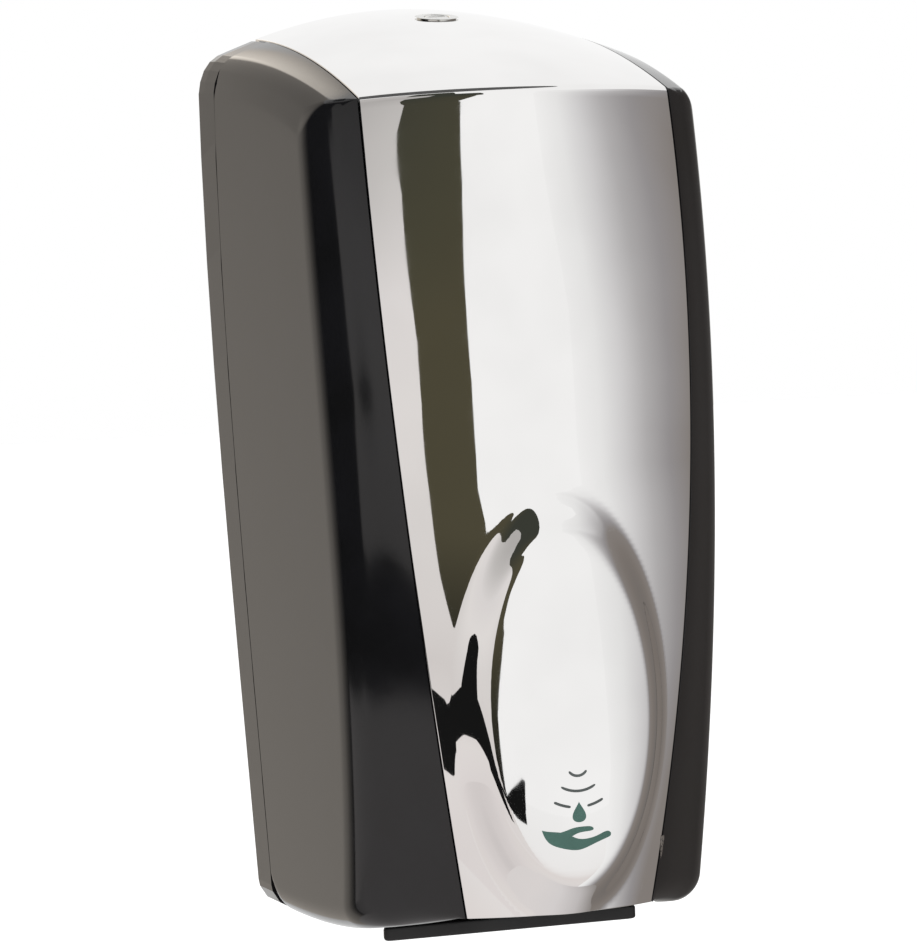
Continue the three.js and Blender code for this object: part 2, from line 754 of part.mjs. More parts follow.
// Foot bar under the deck, with rounded front corners and ends that draw in to the rear
function baseFoot() {
  const rear = footFront - footThick;
  const taper = footThick / 2;
  const shape = new THREE.Shape();
  shape.moveTo(-footHalfWidth + taper, -rear);
  shape.lineTo(-footHalfWidth, -footFront + footRound);
  shape.quadraticCurveTo(-footHalfWidth, -footFront, -footHalfWidth + footRound, -footFront);
  shape.lineTo(footHalfWidth - footRound, -footFront);
  shape.quadraticCurveTo(footHalfWidth, -footFront, footHalfWidth, -footFront + footRound);
  shape.lineTo(footHalfWidth - taper, -rear);
  const bar = raised(shape, -halfHeight, -halfHeight + footHeight);
  const web = block(
    -footHalfWidth + footThick,
    footHalfWidth - footThick,
    rear + footWebInset,
    footFront - footWebInset,
    -halfHeight,
    deckUnder - gap,
  );
  return join(bar, web);
}

// Wall screw: shank, and a domed head against the spine, with a slot in half of its height
function wallScrew(x, z) {
  const seat = spineFront + gap;
  const front = seat + screwHeadThick;
  const shank = forward(x, z, screwShank, gap, seat + screwHeadThick / 2, 12);
  const head = forward(x, z, screwHeadRadius, seat, front, 16, screwHeadRadius / 2);
  const half = screwSlotWidth / 2;
  const across = [x - screwHeadRadius, x + screwHeadRadius];
  return cut(join(shank, head), block(...across, front - screwSlotDepth, depth, z - half, z + half));
}

// Hinge pin: headed on the inner side of its ear
function hingePin(side) {
  const inner = hingeEarInner - gap;
  const pin = crossbar(hingeDepth, hingeHeight, hingePinRadius, ...ends(side, inner, hingePinOuter));
  const headEnds = ends(side, inner, inner - hingePinHead);
  return join(pin, crossbar(hingeDepth, hingeHeight, hingePinHeadRadius, ...headEnds));
}

// Lock and latch

const lockNutRadius = 9;
const lockNutThick = 3;
const lockNutDrop = panelSeat + ledgeWall + 2 * gap;
const lockKeyWidth = 1.4;
const lockKeyLength = 4.6;
const lockKeyDepth = 3;
const camThick = 1.8;
const camHub = 5.5;
const camArmWidth = 7;
const camReach = 14;
const camFinger = 8;
const camDrop = lockBarrelLength + gap;

// Lock housing: a headed tube through panel and shell
function lockBody() {
  const head = upright(0, 0, lockHeadRadius, gap, lockHeadRise + gap, 32);
  const barrel = upright(0, 0, lockBarrelRadius, -lockBarrelLength, lockHeadRise, 32);
  return cut(join(head, barrel), upright(0, 0, lockPlugRadius + runningGap, -halfHeight, overrun, 24));
}

// Turning plug with its key slot, and the square end that carries the cam
function lockPlug() {
  const plug = upright(0, 0, lockPlugRadius, -camDrop, lockHeadRise + gap, 24);
  const slot = block(
    -lockKeyLength / 2,
    lockKeyLength / 2,
    -lockKeyWidth / 2,
    lockKeyWidth / 2,
    lockHeadRise + gap - lockKeyDepth,
    overrun,
  );
  const half = lockPlugRadius / 2;
  const end = block(-half, half, -half, half, -camDrop - camThick - gap, -camDrop + gap);
  return join(cut(plug, slot), end);
}

// Hooked cam: an arm to the left whose finger points to the wall, with a square hole for the plug
function lockCam() {
  const half = camArmWidth / 2;
  const low = -camDrop - camThick;
  const high = -camDrop - gap / 2;
  const shape = new THREE.Shape();
  shape.moveTo(0, -camHub);
  shape.absarc(0, 0, camHub, -Math.PI / 2, Math.PI / 2);
  shape.lineTo(-camReach + camArmWidth, half);
  shape.lineTo(-camReach + half, camFinger);
  shape.lineTo(-camReach, camFinger);
  shape.lineTo(-camReach, -half);
  shape.lineTo(-camHub, -half);
  const hole = lockPlugRadius / 2 + runningGap;
  return cut(raised(shape, low, high), block(-hole, hole, -hole, hole, low - overrun, high + overrun));
}

// Hexagonal nut under the shell
function lockNut() {
  const nut = upright(0, 0, lockNutRadius, -lockNutDrop - lockNutThick, -lockNutDrop, 6);
  return cut(nut, upright(0, 0, lockBarrelRadius + runningGap, -halfHeight, overrun, 32));
}

const keeperGapAcross = 0.7;
const keeperAhead = 6;
const keeperThick = 1.8;
const keeperWidth = 12;
const keeperTall = 6;
const keeperFoot = 10;

// Keeper: an angle bracket on the chassis shelf, behind which the cam's finger hooks
function latchKeeper() {
  const low = chassisTop + gap;
  const inner = camArmWidth / 2 + keeperGapAcross;
  const tabDepth = lockDepth - camDrop * Math.sin(lockTilt) - keeperAhead;
  const rear = tabDepth - keeperThick / 2;
  const tab = block(inner, inner + keeperWidth, rear, rear + keeperThick, low, low + keeperTall);
  const foot = block(inner, inner + keeperWidth, rear, tabDepth + keeperFoot, low, low + keeperThick);
  return join(tab, foot);
}

// Refill and pump

const bottleInset = 18;
const bottleHalfWidth = halfWidth - bottleInset;
const bottleClear = 1;
const bottleNear = spineFront + screwHeadThick + bottleClear;
const bottleSetBack = 30;
const bottleFar = depth - bottleSetBack;
const bottleRound = 20;
const bottleBevel = 7;
const bottleTopDrop = 38.5;
const bottleTop = halfHeight - bottleTopDrop;
const collarRadius = 18;
const collarTall = 16;
const collarGrooves = 16;
const grooveRadius = 0.9;
const grooveDrop = 2;
const pumpRadius = 13;
const pumpRim = 17;
const pumpRimThick = 2;
const pumpChamfer = 1;
const pumpBarrelRadius = 11;
const pumpShoulder = 2;
const pumpRise = 31;
const pumpLow = deckTop + pumpRise;
const pumpHeadroom = 4;
const stemEngage = 2;
const pumpBore = 6.6;
const stemRadius = 6;
const tipRadius = 4.5;
const tipRise = 2;
const tipHeight = deckTop + tipRise;
const flangeRadius = 14;
const flangeThick = 2.5;
const flangeRise = 19.5;
const flangeHigh = deckTop + flangeRise;
const nozzleBore = 2.4;

// Refill: an inverted bottle with soft corners, its shoulder on the shelf and its neck in the slot
function refillBottle() {
  const plan = roundedRect(-bottleHalfWidth, bottleHalfWidth, -bottleFar, -bottleNear, bottleRound);
  const body = raised(plan, shelfHeight + gap, bottleTop, bottleBevel);
  const low = shelfHeight - chassisWall - gap;
  const neck = upright(0, pumpDepth, neckRadius, low, shelfHeight + bottleBevel);
  return join(body, neck);
}

// Collar nut of the refill, grooved for the fingers
function refillCollar() {
  const high = shelfHeight - chassisWall - 2 * gap;
  const ring = upright(0, pumpDepth, collarRadius, high - collarTall, high, 32);
  const grooves = Array.from({ length: collarGrooves }, (_, i) => {
    const turn = (i / collarGrooves) * 2 * Math.PI;
    const at = [collarRadius * Math.cos(turn), pumpDepth + collarRadius * Math.sin(turn)];
    return upright(...at, grooveRadius, high - collarTall - overrun, high - grooveDrop, 6);
  });
  return cut(ring, ...grooves);
}

// Pump: a stepped foaming chamber, open below for the nozzle stem
function pumpBody() {
  const high = shelfHeight - chassisWall - 2 * gap - collarTall - gap;
  const mid = (high + pumpLow) / 2;
  const boreTop = pumpLow + travel + pumpHeadroom;
  const rim = high - pumpRimThick;
  const profile = [
    [0, boreTop],
    [pumpBore, boreTop],
    [pumpBore, pumpLow],
    [pumpBarrelRadius, pumpLow],
    [pumpBarrelRadius, mid],
    [pumpRadius, mid + pumpShoulder],
    [pumpRadius, rim - pumpChamfer],
    [pumpRim, rim],
    [pumpRim, high],
    [0, high],
  ];
  return revolved(0, pumpDepth, profile, 20);
}

// Nozzle: stem, flange for the carriage and a tapered tip, with the foam passage open below
function pumpNozzle() {
  const profile = [
    [0, tipHeight + overrun],
    [nozzleBore, tipHeight + overrun],
    [nozzleBore, tipHeight],
    [tipRadius, tipHeight],
    [stemRadius, flangeHigh - flangeThick],
    [flangeRadius, flangeHigh - flangeThick],
    [flangeRadius, flangeHigh],
    [stemRadius, flangeHigh],
    [stemRadius, pumpLow + stemEngage],
    [0, pumpLow + stemEngage],
  ];
  return revolved(0, pumpDepth, profile, 20);
}

const springRadius = 9.4;
const springWire = 1.1;
const springTurns = 4;
const springSteps = 8;

// A helix about the pump axis
class Helix extends THREE.Curve {
  constructor(radius, low, high, turns) {
    super();
    Object.assign(this, { radius, low, high, turns });
  }

  getPoint(t, target = new THREE.Vector3()) {
    const turn = t * this.turns * 2 * Math.PI;
    const z = THREE.MathUtils.lerp(this.low, this.high, t);
    return target.set(this.radius * Math.cos(turn), -pumpDepth + this.radius * Math.sin(turn), z);
  }
}

// Return spring between the pump and the nozzle's flange
function returnSpring() {
  const rise = springWire / 2 + gap;
  const path = new Helix(springRadius, flangeHigh + rise, pumpLow - rise, springTurns);
  const ring = new THREE.Shape().absarc(0, 0, springWire / 2, 0, 2 * Math.PI);
  const steps = springTurns * springSteps;
  const coil = new THREE.ExtrudeGeometry(ring, { steps, extrudePath: path, curveSegments: 3 });
  console.log('return_spring least gap to itself', leastGap(path).toFixed(2), 'mm');
  return solid(coil);
}

// Least gap between points of the spring's wire that lie more than half a turn apart
function leastGap(path) {
  const points = path.getPoints(springTurns * 60);
  let least = Infinity;
  for (let i = 0; i < points.length; i++) {
    for (let j = i + 30; j < points.length; j++) least = Math.min(least, points[i].distanceTo(points[j]));
  }
  return least - springWire;
}

// Gear train

const moduleLength = 1;
const addendumShare = 0.85;
const dedendumShare = 1.15;
const toothShare = 0.39;
const pressureAngle = THREE.MathUtils.degToRad(20);
const rackPinionTeeth = 12;
const driveTeeth = 32;
const idlerPinionTeeth = 10;
const idlerTeeth = 30;
const motorTeeth = 10;
const shaftRadius = 2;
const trainAngle = THREE.MathUtils.degToRad(133);

const pitchRadius = (teeth) => (moduleLength * teeth) / 2;

const rackSetBack = 2;
const rackDepth = pumpDepth - rackSetBack;
const driveRise = 37;
const driveCentre = { d: rackDepth - pitchRadius(rackPinionTeeth), z: deckTop + driveRise };

// The centre of a gear in mesh with another, along the train's line
function nextCentre(from, distance) {
  return { d: from.d + distance * Math.cos(trainAngle), z: from.z + distance * Math.sin(trainAngle) };
}

const idlerCentre = nextCentre(driveCentre, pitchRadius(driveTeeth) + pitchRadius(idlerPinionTeeth));
const motorCentre = nextCentre(idlerCentre, pitchRadius(idlerTeeth) + pitchRadius(motorTeeth));

// Involute of an angle
const involute = (angle) => Math.tan(angle) - angle;

// A spur gear across the part, with the middle of one tooth or gap pointing in a direction of the side view
function spurGear(centre, teeth, xLow, xHigh, direction, pointsTooth) {
  const pitch = pitchRadius(teeth);
  const base = pitch * Math.cos(pressureAngle);
  const radii = [pitch - dedendumShare * moduleLength, pitch, pitch + addendumShare * moduleLength];
  const step = (2 * Math.PI) / teeth;
  const halfAt = (radius) => {
    const angle = Math.acos(Math.min(base / radius, 1));
    return (step * toothShare) / 2 + involute(pressureAngle) - involute(angle);
  };
  const first = direction + (pointsTooth ? 0 : step / 2);
  const points = [];
  for (let tooth = 0; tooth < teeth; tooth++) {
    const middle = first + tooth * step;
    const flank = radii.map((radius) => [radius, halfAt(radius)]);
    for (const [radius, half] of flank) points.push([radius, middle - half]);
    for (const [radius, half] of flank.reverse()) points.push([radius, middle + half]);
  }
  const outline = points.map(([radius, angle]) => {
    return new THREE.Vector2(centre.d + radius * Math.cos(angle), centre.z + radius * Math.sin(angle));
  });
  return sideways(new THREE.Shape(outline), xLow, xHigh);
}

// Places across the part
const gearFace = 4;
const gearClear = 1;
const gearWeld = 1;
const rackInner = -28.5;
const rackOuter = -33.2;
const driveInner = -35.5;
const driveOuter = driveInner - gearFace;
const idlerInner = driveInner + gearClear / 2;
const idlerMid = driveOuter - gearClear;
const idlerOuter = idlerMid - gearFace;
const plateInner = -47.8;
const plateOuter = -50;
const lighteningRadius = 2.4;

const shaftBore = (centre) => crossbar(centre.d, centre.z, shaftRadius + runningGap, -halfWidth, halfWidth);

// Drive gear: a large wheel with lightening holes, and the pinion that drives the rack
function driveGear() {
  const wheel = spurGear(driveCentre, driveTeeth, driveOuter, driveInner, trainAngle, true);
  const pinion = spurGear(driveCentre, rackPinionTeeth, driveInner - gearWeld, rackInner, 0, true);
  const ring = (pitchRadius(driveTeeth) + pitchRadius(rackPinionTeeth)) / 2;
  const holes = Array.from({ length: 6 }, (_, i) => {
    const turn = (i * Math.PI) / 3;
    const at = [driveCentre.d + ring * Math.cos(turn), driveCentre.z + ring * Math.sin(turn)];
    return crossbar(...at, lighteningRadius, -halfWidth, 0, 8);
  });
  return cut(join(wheel, pinion), shaftBore(driveCentre), ...holes);
}

// Idler: a wheel driven by the motor, and the pinion that turns the drive gear
function idlerGear() {
  const across = [idlerMid - gearWeld, idlerInner];
  const pinion = spurGear(idlerCentre, idlerPinionTeeth, ...across, trainAngle + Math.PI, false);
  const wheel = spurGear(idlerCentre, idlerTeeth, idlerOuter, idlerMid, trainAngle, true);
  return cut(join(wheel, pinion), shaftBore(idlerCentre));
}

const motorRadius = 10;
const motorLength = 25;
const motorShaft = 1;
const motorBossRadius = 3;
const motorShaftReach = 4;
const motorFlatHalf = 7.8;
const motorCapRadius = motorRadius / 3;
const motorCapLength = 3;
const motorWeld = 1;
const motorPinionOverlap = 0.5;
const motorPinionClear = 0.3;
const bracketInner = -37.9;
const bracketOuter = -40;
const bracketHalf = 8;
const bracketFoot = 2;
const bracketFootReach = 5;
const bracketEaseShare = 0.118;

// Motor pinion, with the shaft that it turns on
function motorPinion() {
  const ends = [idlerOuter - motorPinionOverlap, idlerMid - motorPinionClear];
  const pinion = spurGear(motorCentre, motorTeeth, ...ends, trainAngle + Math.PI, false);
  const shaftOuter = idlerOuter - 2 * motorPinionOverlap;
  const shaftInner = bracketInner + motorShaftReach;
  return join(pinion, crossbar(motorCentre.d, motorCentre.z, motorShaft, shaftOuter, shaftInner, 16));
}

// Motor: a round can with flats, a front boss and an end cap
function motor() {
  const { d, z } = motorCentre;
  const rear = bracketInner + motorLength;
  const can = crossbar(d, z, motorRadius, bracketInner + gap, rear, 36);
  const body = common(can, block(-halfWidth, 0, 0, depth, z - motorFlatHalf, z + motorFlatHalf));
  const boss = crossbar(d, z, motorBossRadius, bracketOuter + gap, bracketInner + motorWeld, 20);
  const cap = crossbar(d, z, motorCapRadius, rear - motorWeld, rear + motorCapLength, 20);
  const boreEnd = bracketInner + motorShaftReach + gap;
  const bore = crossbar(d, z, motorShaft + runningGap, -halfWidth, boreEnd, 16);
  return cut(join(body, boss, cap), bore);
}

// Motor bracket: an arm from the chassis spine with a foot and the motor's seat
function motorBracket() {
  const { d, z } = motorCentre;
  const rear = spineFront + gap;
  const low = z - bracketHalf;
  const high = z + bracketHalf;
  const arm = block(bracketOuter, bracketInner, rear, d, low, high);
  const seat = crossbar(d, z, motorRadius, bracketOuter, bracketInner, 36);
  const foot = block(bracketOuter - bracketFootReach, bracketInner, rear, rear + bracketFoot, low, high);
  const hole = crossbar(d, z, motorBossRadius + runningGap, -halfWidth, 0, 20);
  const ease = crossbar((rear + d) / 2, z, (d - rear) * bracketEaseShare, -halfWidth, 0, 20);
  return cut(join(arm, seat, foot), hole, ease);
}

const shaftEnd = 1;
const shaftNeckRadius = 1;
const gearPlateRound = 6;
const plateTabReach = 9.8;
const plateTabThick = 2;

// A gear shaft, fixed in the gear plate
const gearShaft = (centre, inner) => {
  const shaft = crossbar(centre.d, centre.z, shaftRadius, plateInner + gap, inner + shaftEnd, 24);
  return join(shaft, crossbar(centre.d, centre.z, shaftNeckRadius, plateOuter, plateInner + shaftEnd, 16));
};

// Gear plate: hung from the shelf, it carries the two gear shafts
function gearPlate() {
  const under = shelfHeight - chassisWall - gap;
  const round = gearPlateRound;
  const shape = new THREE.Shape();
  shape.moveTo(idlerCentre.d - round, under);
  shape.lineTo(idlerCentre.d - round, idlerCentre.z);
  shape.lineTo(driveCentre.d - round, driveCentre.z);
  shape.absarc(driveCentre.d, driveCentre.z, round, Math.PI, 2 * Math.PI);
  shape.lineTo(driveCentre.d + round, under);
  const plate = sideways(shape, plateOuter, plateInner);
  const tabEnds = [plateOuter, plateInner + plateTabReach, idlerCentre.d - round, driveCentre.d + round];
  const tab = block(...tabEnds, under - plateTabThick, under);
  const bores = [driveCentre, idlerCentre].map((centre) => {
    return crossbar(centre.d, centre.z, shaftNeckRadius + runningGap, -halfWidth, 0, 16);
  });
  return cut(join(plate, tab), ...bores);
}

// Carriage: a fork under the nozzle's flange, sliding on two rods, with the rack on its left
const forkThick = 2.7;
const forkHigh = flangeHigh - flangeThick - gap;
const forkBehind = 14;
const forkNear = pumpDepth - forkBehind;
const forkAhead = 12;
const forkFar = pumpDepth + forkAhead;
const forkClear = 1;
const guideRadius = 5;
const guideTall = 12;
const rackTall = 36;
const rackBar = 5;

function actuatorCarriage() {
  const low = forkHigh - forkThick;
  const fork = raised(roundedRect(rackOuter, -rackOuter, -forkFar, -forkNear, guideRadius), low, forkHigh);
  const half = stemRadius + forkClear;
  const mouth = join(
    upright(0, pumpDepth, half, -halfHeight, 0),
    block(-half, half, pumpDepth, depth, -halfHeight, 0),
  );
  const guides = [-rodAcross, rodAcross].map((x) => {
    return upright(x, pumpDepth, guideRadius, low, low + guideTall);
  });
  const bores = [-rodAcross, rodAcross].map((x) => {
    return upright(x, pumpDepth, rodRadius + runningGap, -halfHeight, 0);
  });
  const rack = sideways(rackOutline(low), rackOuter, rackInner);
  return cut(join(cut(fork, mouth), ...guides, rack), ...bores);
}

// Side view of the rack: teeth to the rear, with a gap facing the pinion's tooth
function rackOutline(low) {
  const pitch = Math.PI * moduleLength;
  const back = rackDepth + dedendumShare * moduleLength;
  const tip = rackDepth - addendumShare * moduleLength;
  const spread = (reach) => (pitch * toothShare) / 2 - reach * Math.tan(pressureAngle);
  const tipHalf = spread(addendumShare * moduleLength);
  const rootHalf = spread(-dedendumShare * moduleLength);
  const shape = new THREE.Shape();
  shape.moveTo(back + rackBar, low);
  shape.lineTo(back + rackBar, low + rackTall);
  shape.lineTo(back, low + rackTall);
  const count = Math.floor((low + rackTall - driveCentre.z) / pitch - 0.5);
  const first = driveCentre.z + (count - 0.5) * pitch;
  for (let z = first; z > low + pitch * 2; z -= pitch) {
    shape.lineTo(back, z + rootHalf);
    shape.lineTo(tip, z + tipHalf);
    shape.lineTo(tip, z - tipHalf);
    shape.lineTo(back, z - rootHalf);
  }
  shape.lineTo(back, low);
  return shape;
}

// A rod between deck and shelf, on which the carriage slides
const guideRod = (x) => {
  return upright(x, pumpDepth, rodRadius, deckTop + gap, shelfHeight - chassisWall - gap, 24);
};

const shroudBore = 8;
const shroudDrop = 3.4;
const shroudRim = 12.6;
const shroudRimRise = 2;

// Shroud that guides the nozzle through the deck
function nozzleShroud() {
  const low = deckUnder - shroudDrop;
  const high = deckTop + shroudRimRise;
  const profile = [
    [shroudBore, low],
    [shroudRadius, low],
    [shroudRadius, deckTop + gap],
    [shroudRim, deckTop + gap],
    [shroudRim, high],
    [shroudBore, high],
    [shroudBore, low],
  ];
  return revolved(0, pumpDepth, profile, 20);
}

// Batteries

const cellRadius = 13.1;
const cellLength = 50;
const cellPitch = 26.5;
const cellNubRadius = 3;
const cellNubTall = 1;
const boxWall = 1.6;
const contactThick = 0.6;
const contactHalf = 4.5;
const cellAhead = 1;
const boxFirstCell = -17;
const boxNear = spineFront + gap;
const boxFar = boxNear + 2 * cellRadius + boxWall + cellAhead;
const boxLow = deckTop + gap;
const boxLeft = boxFirstCell - cellPitch / 2 - boxWall;
const boxRight = boxFirstCell + 2.5 * cellPitch + boxWall;
const boxHigh = boxLow + 2 * boxWall + cellLength + cellNubTall + 2 * contactThick + 5 * gap;

// Battery box, open to the front
function batteryBox() {
  const box = block(boxLeft, boxRight, boxNear, boxFar, boxLow, boxHigh);
  const across = [boxLeft + boxWall, boxRight - boxWall];
  return cut(box, block(...across, boxNear + boxWall, depth, boxLow + boxWall, boxHigh - boxWall));
}

// A cell standing in the box
function batteryCell(i) {
  const x = boxFirstCell + i * cellPitch;
  const d = boxNear + boxWall + gap + cellRadius;
  const low = boxLow + boxWall + contactThick + 2 * gap;
  const can = upright(x, d, cellRadius, low, low + cellLength, 28);
  return join(can, upright(x, d, cellNubRadius, low, low + cellLength + cellNubTall, 16));
}

// A contact strip along the top or the bottom of the box
function contactStrip(low) {
  const d = boxNear + boxWall + gap + cellRadius;
  const across = [boxLeft + boxWall + gap, boxRight - boxWall - gap];
  return block(...across, d - contactHalf, d + contactHalf, low, low + contactThick);
}

const doorThick = 2;
const doorLipReach = 0.6;
const doorLipThick = 1.7;
const doorWeld = 1;
const gripCount = 5;
const gripDrop = 4;
const gripPitch = 2.4;
const gripHalfWidth = 9;
const gripHalfTall = 0.5;
const gripRise = 0.8;

// Battery door with finger ridges
function batteryDoor() {
  const near = boxFar + gap;
  const door = block(boxLeft, boxRight, near, near + doorThick, boxLow, boxHigh);
  const lipLow = boxLow + boxWall + gap;
  const lipAcross = [boxLeft + boxWall + gap, boxRight - boxWall - gap];
  const lip = block(...lipAcross, boxFar - doorLipReach, near + doorWeld, lipLow, lipLow + doorLipThick);
  const ridges = Array.from({ length: gripCount }, (_, i) => {
    const x = boxFirstCell + cellPitch;
    const z = boxHigh - gripDrop - i * gripPitch;
    const plan = [x - gripHalfWidth, x + gripHalfWidth, near + doorWeld, near + doorThick + gripRise];
    return block(...plan, z - gripHalfTall, z + gripHalfTall);
  });
  return join(door, lip, ...ridges);
}

// Electronics

const boardRise = 59;
const boardHigh = deckTop + boardRise;
const chipSize = 9;
const chipThick = 1.6;
const capRadius = 4;
const capTall = 11;
const capDrop = 31.5;

// Main circuit board, on edge in its two posts
const circuitBoard = () => block(
  boardInner,
  boardInner + boardThick,
  boardNear + boardPost / 2 + gap,
  boardFar - boardPost / 2 - gap,
  deckTop + gap,
  boardHigh,
);

const boardMiddle = (boardNear + boardFar) / 2;

// Control chip, below the board's upper edge
const controlChip = () => block(
  boardInner - gap - chipThick,
  boardInner - gap,
  boardMiddle - chipSize / 2,
  boardMiddle + chipSize / 2,
  boardHigh - 2 * chipSize,
  boardHigh - chipSize,
);

// Capacitor, below the chip
const capacitor = () => {
  const high = boardHigh - capDrop;
  return crossbar(boardMiddle, high, capRadius, boardInner - gap - capTall, boardInner - gap, 20);
};

const switchInset = 12;
const switchAcross = chassisHalfWidth - switchInset;
const switchSetBack = 41;
const switchDepth = depth - switchSetBack;
const switchHalf = 6;
const switchTall = 6;
const switchThick = 5;
const switchTravel = 4;
const slotDepth = 3;
const slotClear = 1;
const slotHalfTall = 1.4;
const knobHalf = 1.5;
const knobReach = 3;
const knobRoot = 2.6;
const knobHalfTall = 1.1;

// Housing of the on-off switch, standing on the deck, with a slot to the front
function switchHousing() {
  const low = deckTop + gap;
  const middle = low + switchTall / 2;
  const across = [switchAcross - switchHalf, switchAcross + switchHalf];
  const box = block(...across, switchDepth - switchThick, switchDepth, low, low + switchTall);
  const half = switchTravel / 2 + knobHalf + slotClear;
  const slotPlan = [switchAcross - half, switchAcross + half, switchDepth - slotDepth, depth];
  return cut(box, block(...slotPlan, middle - slotHalfTall, middle + slotHalfTall));
}

// Slider of the switch, at its left end
function switchSlider() {
  const middle = deckTop + gap + switchTall / 2;
  const x = switchAcross - switchTravel / 2;
  const near = switchDepth - knobRoot;
  const far = switchDepth + knobReach;
  return block(x - knobHalf, x + knobHalf, near, far, middle - knobHalfTall, middle + knobHalfTall);
}

const lensRise = 1;
const lensTop = deckTop + lensRise;
const lensRim = 2;
const lensRimNear = 0.2;
const lensRimFar = 1.6;

// Lens in the deck over the sensors, with a rim that rests on the deck
function sensorLens() {
  const near = windowNear + gap;
  const far = windowFar - gap;
  const wide = windowHalfWidth - gap;
  const lens = block(-wide, wide, near, far, deckUnder, lensTop);
  const rimEnds = [-wide - lensRim, wide + lensRim, near - lensRimNear, far + lensRimFar];
  return join(lens, block(...rimEnds, deckTop + gap, lensTop));
}

const sensorAcross = 13;
const sensorRadius = 2.5;
const sensorTall = 7;
const sensorCollar = 3;
const sensorCollarThick = 1;
const sensorNose = [[1.5, 0.375], [2.5, 2]];

// An infrared eye with a round nose, looking down
function infraredEye(x) {
  const low = lensTop + gap;
  const high = low + sensorTall;
  const profile = [
    [0, low],
    ...sensorNose.map(([radius, rise]) => [radius, low + rise]),
    [sensorRadius, high - sensorCollarThick],
    [sensorCollar, high - sensorCollarThick],
    [sensorCollar, high],
    [0, high],
  ];
  return revolved(x, (windowNear + windowFar) / 2, profile, 20);
}

const sensorBoardReach = 6;
const sensorBoardHalf = windowHalfWidth + sensorBoardReach;
const sensorBoardBehind = 0.5;
const sensorBoardNear = windowNear - sensorBoardBehind;
const legWidth = 2.4;
const legInset = 1;
const legDepth = 3;

// Small board that holds the two eyes, on legs that stand on the deck
function sensorBoard() {
  const low = lensTop + gap + sensorTall + gap;
  const board = block(-sensorBoardHalf, sensorBoardHalf, sensorBoardNear, windowFar, low, low + boardThick);
  const legs = [-1, 1].map((side) => {
    const across = ends(side, sensorBoardHalf - legWidth, sensorBoardHalf);
    const near = sensorBoardNear + legInset;
    return block(...across, near, near + legDepth, deckTop + gap, low + boardThick / 2);
  });
  return join(board, ...legs);
}

// Assembly

const finishes = {
  blackGloss: { color: 0x1b1a19, roughness: 0.12, metalness: 0 },
  blackMatt: { color: 0x232323, roughness: 0.55, metalness: 0 },
  greyMatt: { color: 0x5b5f63, roughness: 0.6, metalness: 0 },
  chrome: { color: 0xe9e9ea, roughness: 0.04, metalness: 1 },
  steel: { color: 0xb4b7ba, roughness: 0.3, metalness: 1 },
  acetal: { color: 0xece9e0, roughness: 0.4, metalness: 0 },
  refill: { color: 0xe6edf0, roughness: 0.25, metalness: 0 },
  white: { color: 0xf3f3f0, roughness: 0.4, metalness: 0 },
  cell: { color: 0x2f6f4a, roughness: 0.35, metalness: 0.2 },
  board: { color: 0x1f5a35, roughness: 0.5, metalness: 0 },
  lens: { color: 0x2a0d10, roughness: 0.08, metalness: 0 },
  smoke: { color: 0x6b6156, roughness: 0.2, metalness: 0 },
};

const dispenser = new THREE.Group();

// Adds one piece under its name
function place(group, name, body, finish) {
  const mesh = new THREE.Mesh(geometryOf(body), new THREE.MeshStandardMaterial(finishes[finish]));
  mesh.name = name;
  group.add(mesh);
}

place(dispenser, 'back_plate', backPlate(), 'blackMatt');
place(dispenser, 'chassis', chassis(), 'greyMatt');
place(dispenser, 'base_foot', baseFoot(), 'blackGloss');
place(dispenser, 'cover_shell', coverShell(), 'blackGloss');
place(dispenser, 'front_panel', frontPanel(), 'chrome');
place(dispenser, 'indicator_lens', indicatorLens(), 'smoke');

screwSpots.forEach(([x, z], i) => {
  place(dispenser, `wall_screw_${i + 1}`, wallScrew(x, z), 'steel');
});
place(dispenser, 'hinge_pin_left', hingePin(-1), 'steel');
place(dispenser, 'hinge_pin_right', hingePin(1), 'steel');

const lock = new THREE.Group();
lock.position.set(0, -lockDepth, roof(0, lockDepth));
lock.rotation.x = lockTilt;
place(lock, 'lock_body', lockBody(), 'steel');
place(lock, 'lock_nut', lockNut(), 'steel');
place(lock, 'lock_plug', lockPlug(), 'steel');
place(lock, 'lock_cam', lockCam(), 'steel');
dispenser.add(lock);
place(dispenser, 'latch_keeper', latchKeeper(), 'steel');

place(dispenser, 'refill_bottle', refillBottle(), 'refill');
place(dispenser, 'refill_collar', refillCollar(), 'white');
place(dispenser, 'pump_body', pumpBody(), 'white');
place(dispenser, 'pump_nozzle', pumpNozzle(), 'white');
place(dispenser, 'return_spring', returnSpring(), 'steel');
place(dispenser, 'actuator_carriage', actuatorCarriage(), 'acetal');
place(dispenser, 'guide_rod_left', guideRod(-rodAcross), 'steel');
place(dispenser, 'guide_rod_right', guideRod(rodAcross), 'steel');
place(dispenser, 'nozzle_shroud', nozzleShroud(), 'blackMatt');

place(dispenser, 'gear_plate', gearPlate(), 'steel');
place(dispenser, 'drive_shaft', gearShaft(driveCentre, rackInner), 'steel');
place(dispenser, 'idler_shaft', gearShaft(idlerCentre, idlerInner), 'steel');
place(dispenser, 'drive_gear', driveGear(), 'acetal');
place(dispenser, 'idler_gear', idlerGear(), 'acetal');
place(dispenser, 'motor_pinion', motorPinion(), 'acetal');
place(dispenser, 'motor_bracket', motorBracket(), 'steel');
place(dispenser, 'motor', motor(), 'steel');

place(dispenser, 'battery_box', batteryBox(), 'blackMatt');
[0, 1, 2].forEach((i) => place(dispenser, `battery_cell_${i + 1}`, batteryCell(i), 'cell'));
place(dispenser, 'contact_strip_lower', contactStrip(boxLow + boxWall + gap), 'steel');
place(dispenser, 'contact_strip_upper', contactStrip(boxHigh - boxWall - gap - contactThick), 'steel');
place(dispenser, 'battery_door', batteryDoor(), 'greyMatt');

